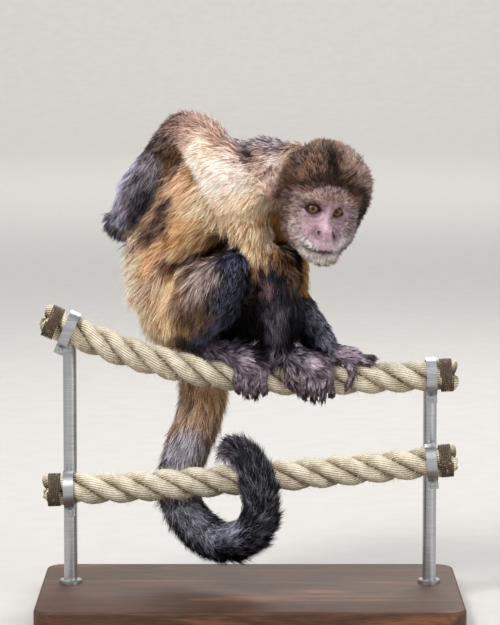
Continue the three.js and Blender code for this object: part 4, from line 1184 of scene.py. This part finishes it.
# Blown glass, painted behind: the glossy coat is the clear dome.
glass_eye, tree, shader = material("painted_glass_eye")
ring = add(tree, "Attribute", attribute_name="ring").outputs["Fac"]
spoke = add(tree, "Attribute", attribute_name="spoke").outputs["Vector"]
streaks = add(tree, "TexNoise", {"Vector": spoke, "Scale": 9.0, "Detail": 4.0}).outputs["Fac"]
uneven = add(tree, "Math", {0: streaks, 1: 0.11, 2: ring}, operation="MULTIPLY_ADD").outputs[0]
painted = add(tree, "ValToRGB", {"Fac": uneven}, stops=(
    (0.14, "#020101"), (0.19, "#220d04"), (0.3, "#643818"), (0.42, "#582d12"), (0.54, "#37170a"),
    (0.64, "#0c0403"), (0.78, "#150b09"), (0.97, "#2c1d1b")))
finish_shader(tree, shader, Roughness=0.35, Specular_IOR_Level=0.1, Coat_Weight=0.55, Coat_Roughness=0.03,
              Base_Color=painted.outputs["Color"])

EYE_BULGE = 0.5 * MM
for name, centre in eye_centres.items():
    look = gaze[name]
    right = unit(np.cross(look, [0, 0, 1]))
    upward = np.cross(right, look)
    polar = np.linspace(0.02, pi - 0.02, 40)[:, None]
    around = full_turn(48)[None]
    radius = EYE_RADIUS + EYE_BULGE * smoothstep(0.62, 0.2, polar)
    rings = (centre + (radius * np.sin(polar) * np.cos(around))[..., None] * right
             + (radius * np.sin(polar) * np.sin(around))[..., None] * upward
             + (radius * np.cos(polar) + 0 * around)[..., None] * look)
    vertices, faces = tube(rings)
    eye = mesh_object(name + "_glass", vertices, [face[::-1] for face in faces], glass_eye)
    arc = (polar * EYE_RADIUS / MM / 8 + 0 * around).ravel()
    hold(eye.data, "ring", [*arc, 0.0, 3.0])
    spokes = np.stack([np.cos(around) + 0 * polar, np.sin(around) + 0 * polar, 0 * around + 0 * polar], 2)
    hold(eye.data, "spoke", np.vstack([spokes.reshape(-1, 3), np.zeros((2, 3))]))
    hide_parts(name)
    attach(eye, "root")


# ---- Nails -------------------------------------------------------------------------------------------
# A dark curved nail on the back of each finger and toe, cast in resin and set into the skin.

# Cast resin: hard, half-glossy, mottled in patches of about 0.8 mm.
nail_resin, tree, shader = material("cast_resin_nail")
patches = add(tree, "TexNoise", {"Vector": add(tree, "TexCoord").outputs["Object"], "Scale": 1 / 0.0008})
horn = add(tree, "ValToRGB", {"Fac": patches.outputs["Fac"]}, stops=((0.3, "#1b1719"), (0.75, "#4d4347")))
finish_shader(tree, shader, Roughness=0.35, Base_Color=horn.outputs["Color"])

NAIL_RADIUS, NAIL_BACK, NAIL_FRONT, NAIL_THICK = 2.7 * MM, 3.4 * MM, 1.6 * MM, 0.45 * MM
rope_lines = {name: route_points(route, 200)[0] for name, route in ROPE_ROUTES.items()}
loin_middle = corners["trunk_loin"].mean(0)
nails = []
for name in DIGITS:
    tip = lines[name][1]
    last = corners[name][np.linalg.norm(corners[name] - tip, axis=1) < 8 * MM]
    heading = unit(tip - last.mean(0))
    held = rope_lines["rope_upper"]
    inner = loin_middle if "finger_right" in name else held[np.linalg.norm(held - tip, axis=1).argmin()]
    back = unit((tip - inner) - heading * ((tip - inner) @ heading))
    side = np.cross(heading, back)
    rings = []
    for along in np.linspace(-NAIL_BACK, NAIL_FRONT, 7):
        taper = 1 - 0.35 * smoothstep(0, NAIL_FRONT, along)
        bend = np.linspace(-1.0, 1.0, 9) * taper
        outer = [tip - heading * 1.2 * MM + heading * along
                 + NAIL_RADIUS * (np.cos(a) * back + np.sin(a) * side)
                 - back * 0.5 * MM * smoothstep(0, NAIL_FRONT, along) for a in bend]
        rings.append(outer + [q - NAIL_THICK * back for q in outer[::-1]])
    nails.append(tube(np.array(rings)))
nail_set = mesh_object("nails", *joined(nails), nail_resin)
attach(nail_set, "root")


# ---- Coat --------------------------------------------------------------------------------------------
# Hair set into the skin in locks that follow the lie of the coat: back along the body and limbs, away
# from the face on the head, and hanging a little where it is long. Each blade stands for many hairs.

# Natural hair: a weak, soft sheen, its colour held by each hair.
hair, tree, shader = material("natural_hair")
tint_and_shade = add(tree, "Attribute", attribute_name="tint_and_shade").outputs["Color"]
finish_shader(tree, shader, Base_Color=tint_and_shade, Roughness=0.5, Specular_IOR_Level=0.12)

COAT_SEED = 7
rng = np.random.default_rng(COAT_SEED)
flow = unit(coat["lie"] - normals * (coat["lie"] * normals).sum(1, keepdims=True))
skin_mesh.calc_loop_triangles()
triangles = read(skin_mesh.loop_triangles, "vertices", 3, int)
a, b, c = (skin_points[triangles[:, i]] for i in range(3))
areas = np.linalg.norm(np.cross(b - a, c - a), axis=1) / 2
triangle_owner = owner[triangles[:, 0]]

# At the root, the middle and the tip of a hair: how far along it, its width and its brightness. The root
# is darkened as painted shade from the coat over it, and the tip is a little brighter.
TIMES = np.array([0, 0.5, 1.0])
TAPER = np.array([0.85, 1.0, 0.0])
ROOT_SHADE_TO_TIP = np.array([0.5, 0.95, 1.15])
BLADE = np.array([1, 0, 2, 3, 3, 2, 4])
BLADE_PATCH = np.array([[0, 0], [1, 0], [0, 1.5], [1, 1.5], [0.5, 3]]) * [0.003, 0.001]
SAG, CURL, ROOT_DEPTH = 0.07, 0.12, 0.4 * MM


def ring_place(points, name):
    """Where points lie on a part opened out flat: round its line, and along it, from 0 to 1."""
    start, end = lines[name]
    axis = unit(end - start)
    first = unit(np.cross(axis, [0.3, 0.2, 1]))
    second = np.cross(axis, first)
    offset = points - start
    u = np.arctan2(offset @ second, offset @ first) / (2 * pi) + 0.5
    v = (offset @ axis) / np.linalg.norm(end - start)
    return u, np.clip(v * 0.7 + 0.15, 0, 1)


def blades(name, middle, half, side, facing, colour, place):
    """Thin tapered blades of hair, each a quad and a tip, as one mesh, shaded by the way they face."""
    n = len(middle)
    vertices = np.empty((n, 5, 3))
    vertices[:, 0:4:2] = middle[:, :2] - half[:, :2, None] * side[:, None]
    vertices[:, 1:4:2] = middle[:, :2] + half[:, :2, None] * side[:, None]
    vertices[:, 4] = middle[:, 2]
    mesh = bpy.data.meshes.new(name)
    mesh.vertices.add(5 * n)
    mesh.vertices.foreach_set("co", vertices.ravel())
    mesh.loops.add(7 * n)
    order = BLADE + 5 * np.arange(n)[:, None]
    mesh.loops.foreach_set("vertex_index", order.ravel().astype(np.int32))
    mesh.polygons.add(2 * n)
    mesh.polygons.foreach_set("loop_start", (np.array([0, 4]) + 7 * np.arange(n)[:, None]).ravel())
    mesh.polygons.foreach_set("use_smooth", [True] * (2 * n))
    mesh.update(calc_edges=True)
    hold(mesh, "tint_and_shade", np.concatenate([colour[:, [0, 0, 1, 1, 2]], np.ones((n, 5, 1))], 2))
    spots = place[:, None] * 0.994 + BLADE_PATCH
    mesh.uv_layers.new(name="OFBake").data.foreach_set("uv", spots[:, BLADE].astype(np.float32).ravel())
    mesh.normals_split_custom_set_from_vertices(np.repeat(facing, 5, 0).astype(np.float32))
    mesh.materials.append(hair)
    made = placed(name, mesh)
    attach(made, "root")
    return made


def grow(name, parts, slot, hairs, per_lock=8, clump=0.5, spread_mm=2.4, chance_of=None):
    """Sets hairs in locks over some parts of the skin."""
    indices = [FLESH.index(part) for part in parts]
    chance = areas * np.isin(triangle_owner, indices)
    if chance_of is not None:
        chance = chance * chance_of[triangles].mean(1)
    locks = hairs // per_lock
    picked = np.searchsorted(np.cumsum(chance) / chance.sum(), rng.random(locks))
    r1, r2 = np.sqrt(rng.random(locks)), rng.random(locks)
    corner_share = np.stack([1 - r1, r1 * (1 - r2), r1 * r2], 1)

    def at(values):
        """A skin value at the lock's roots, once for every hair of the lock."""
        found = (values[triangles[picked]] * corner_share[..., None]).sum(1)
        return np.repeat(found, per_lock, 0)

    def vary(scale, each=1.0):
        """A random value for every lock, with a smaller one for each hair, around 0."""
        return scale * (np.repeat(rng.standard_normal(locks), per_lock)
                        + each * rng.standard_normal(locks * per_lock))[:, None]

    n = locks * per_lock
    root, normal, lie = at(skin_points), unit(at(normals)), unit(at(flow))
    side = np.cross(normal, lie)
    turn = vary(0.13, 0.6)
    lie = lie * np.cos(turn) + side * np.sin(turn)
    side = np.cross(normal, lie)
    long = at(coat["length"]) * MM * np.clip(1 + vary(0.13, 0.8), 0.45, 1.6)
    rise = np.radians(at(coat["lift"])) * np.clip(1 + vary(0.18, 0.7), 0.3, 1.9)
    apart = np.clip(rng.standard_normal((n, 2)), -2, 2) * spread_mm * MM * 0.5
    offset = apart[:, :1] * lie + apart[:, 1:] * side
    bend = vary(0.05)
    middle = np.empty((n, 3, 3))
    for i, t in enumerate(TIMES):
        out = np.sin(rise) * t - CURL * t * t
        middle[:, i] = (root + offset * (1 - clump * t) + long * (np.cos(rise) * t * lie + out * normal
                                                                  + bend * sin(t * pi) * side))
        middle[:, i] -= normal * ROOT_DEPTH * (1 - t)
        middle[:, i, 2] -= SAG * long[:, 0] * t * t
    roll = rng.uniform(-0.9, 0.9, n)[:, None]
    half = at(coat["width"]) * MM / 2 * rng.uniform(0.7, 1.3, n)[:, None] * TAPER
    pick = 0.5 * np.repeat(rng.random(locks), per_lock)[:, None] + 0.5 * rng.random(n)[:, None]
    lightness = smoothstep(-0.25, 0.25, at(coat["share"]) - pick)
    own = at(coat["dark"]) * (1 - lightness) + at(coat["light"]) * lightness
    own = own * np.clip(1 + vary(0.09, 0.8), 0.5, 1.6)
    # Each hair's colour, with painted shade at its root.
    colour = np.clip(own[:, None] * ROOT_SHADE_TO_TIP[None, :, None], 0, 0.95)
    place = np.zeros((n, 2))
    owners = np.repeat(triangle_owner[picked], per_lock)
    for k, index in enumerate(indices):
        mine = owners == index
        u, v = ring_place(root[mine], FLESH[index])
        place[mine] = np.stack([u, (k + 0.03 + 0.94 * v) / len(indices)], 1)
    facing = unit(normal * 0.55 + (normal * np.cos(roll) - side * np.sin(roll)) * 0.55 + lie * 0.1)
    made = blades(name, middle, half, side * np.cos(roll) + normal * np.sin(roll), facing, colour, place)
    return made


furred = smoothstep(0.75, 0.3, bare)
longer = smoothstep(1.6, 4, coat["length"][:, 0])
fuzzy = bare * on_head * smoothstep(0.5, 1.6, lid_edge) * (0.3 + 0.9 * longer)
grow("coat_head", ["head", "ear_right", "ear_left"], "head_coat", 64000, chance_of=furred, spread_mm=1.5,
     clump=0.3)
grow("coat_face", ["head"], "head_coat", 22000, chance_of=fuzzy, spread_mm=1.2, clump=0.1)
grow("coat_chest", ["neck", "trunk_chest"], "gold_coat", 60000)
grow("coat_loin", ["trunk_loin"], "back_coat", 45000)
grow("coat_arm_right", ["upper_arm_right", "forearm_right"], "gold_coat", 58000)
grow("coat_arm_left", ["upper_arm_left", "forearm_left"], "gold_coat", 28000)
grow("coat_leg_right", ["thigh_right", "shin_right"], "thigh_coat", 52000)
grow("coat_leg_left", ["thigh_left", "shin_left"], "thigh_coat", 39000)
grow("coat_tail_root", ["tail_1", "tail_2", "tail_3"], "back_coat", 37000)
grow("coat_tail_end", ["tail_4", "tail_5", "tail_6", "tail_7"], "black_coat", 43000)
grow("coat_feet", [name for name in FLESH if name.startswith(("foot", "hand", "toe", "finger"))],
     "hand_skin", 34000, spread_mm=1.2, clump=0.3)
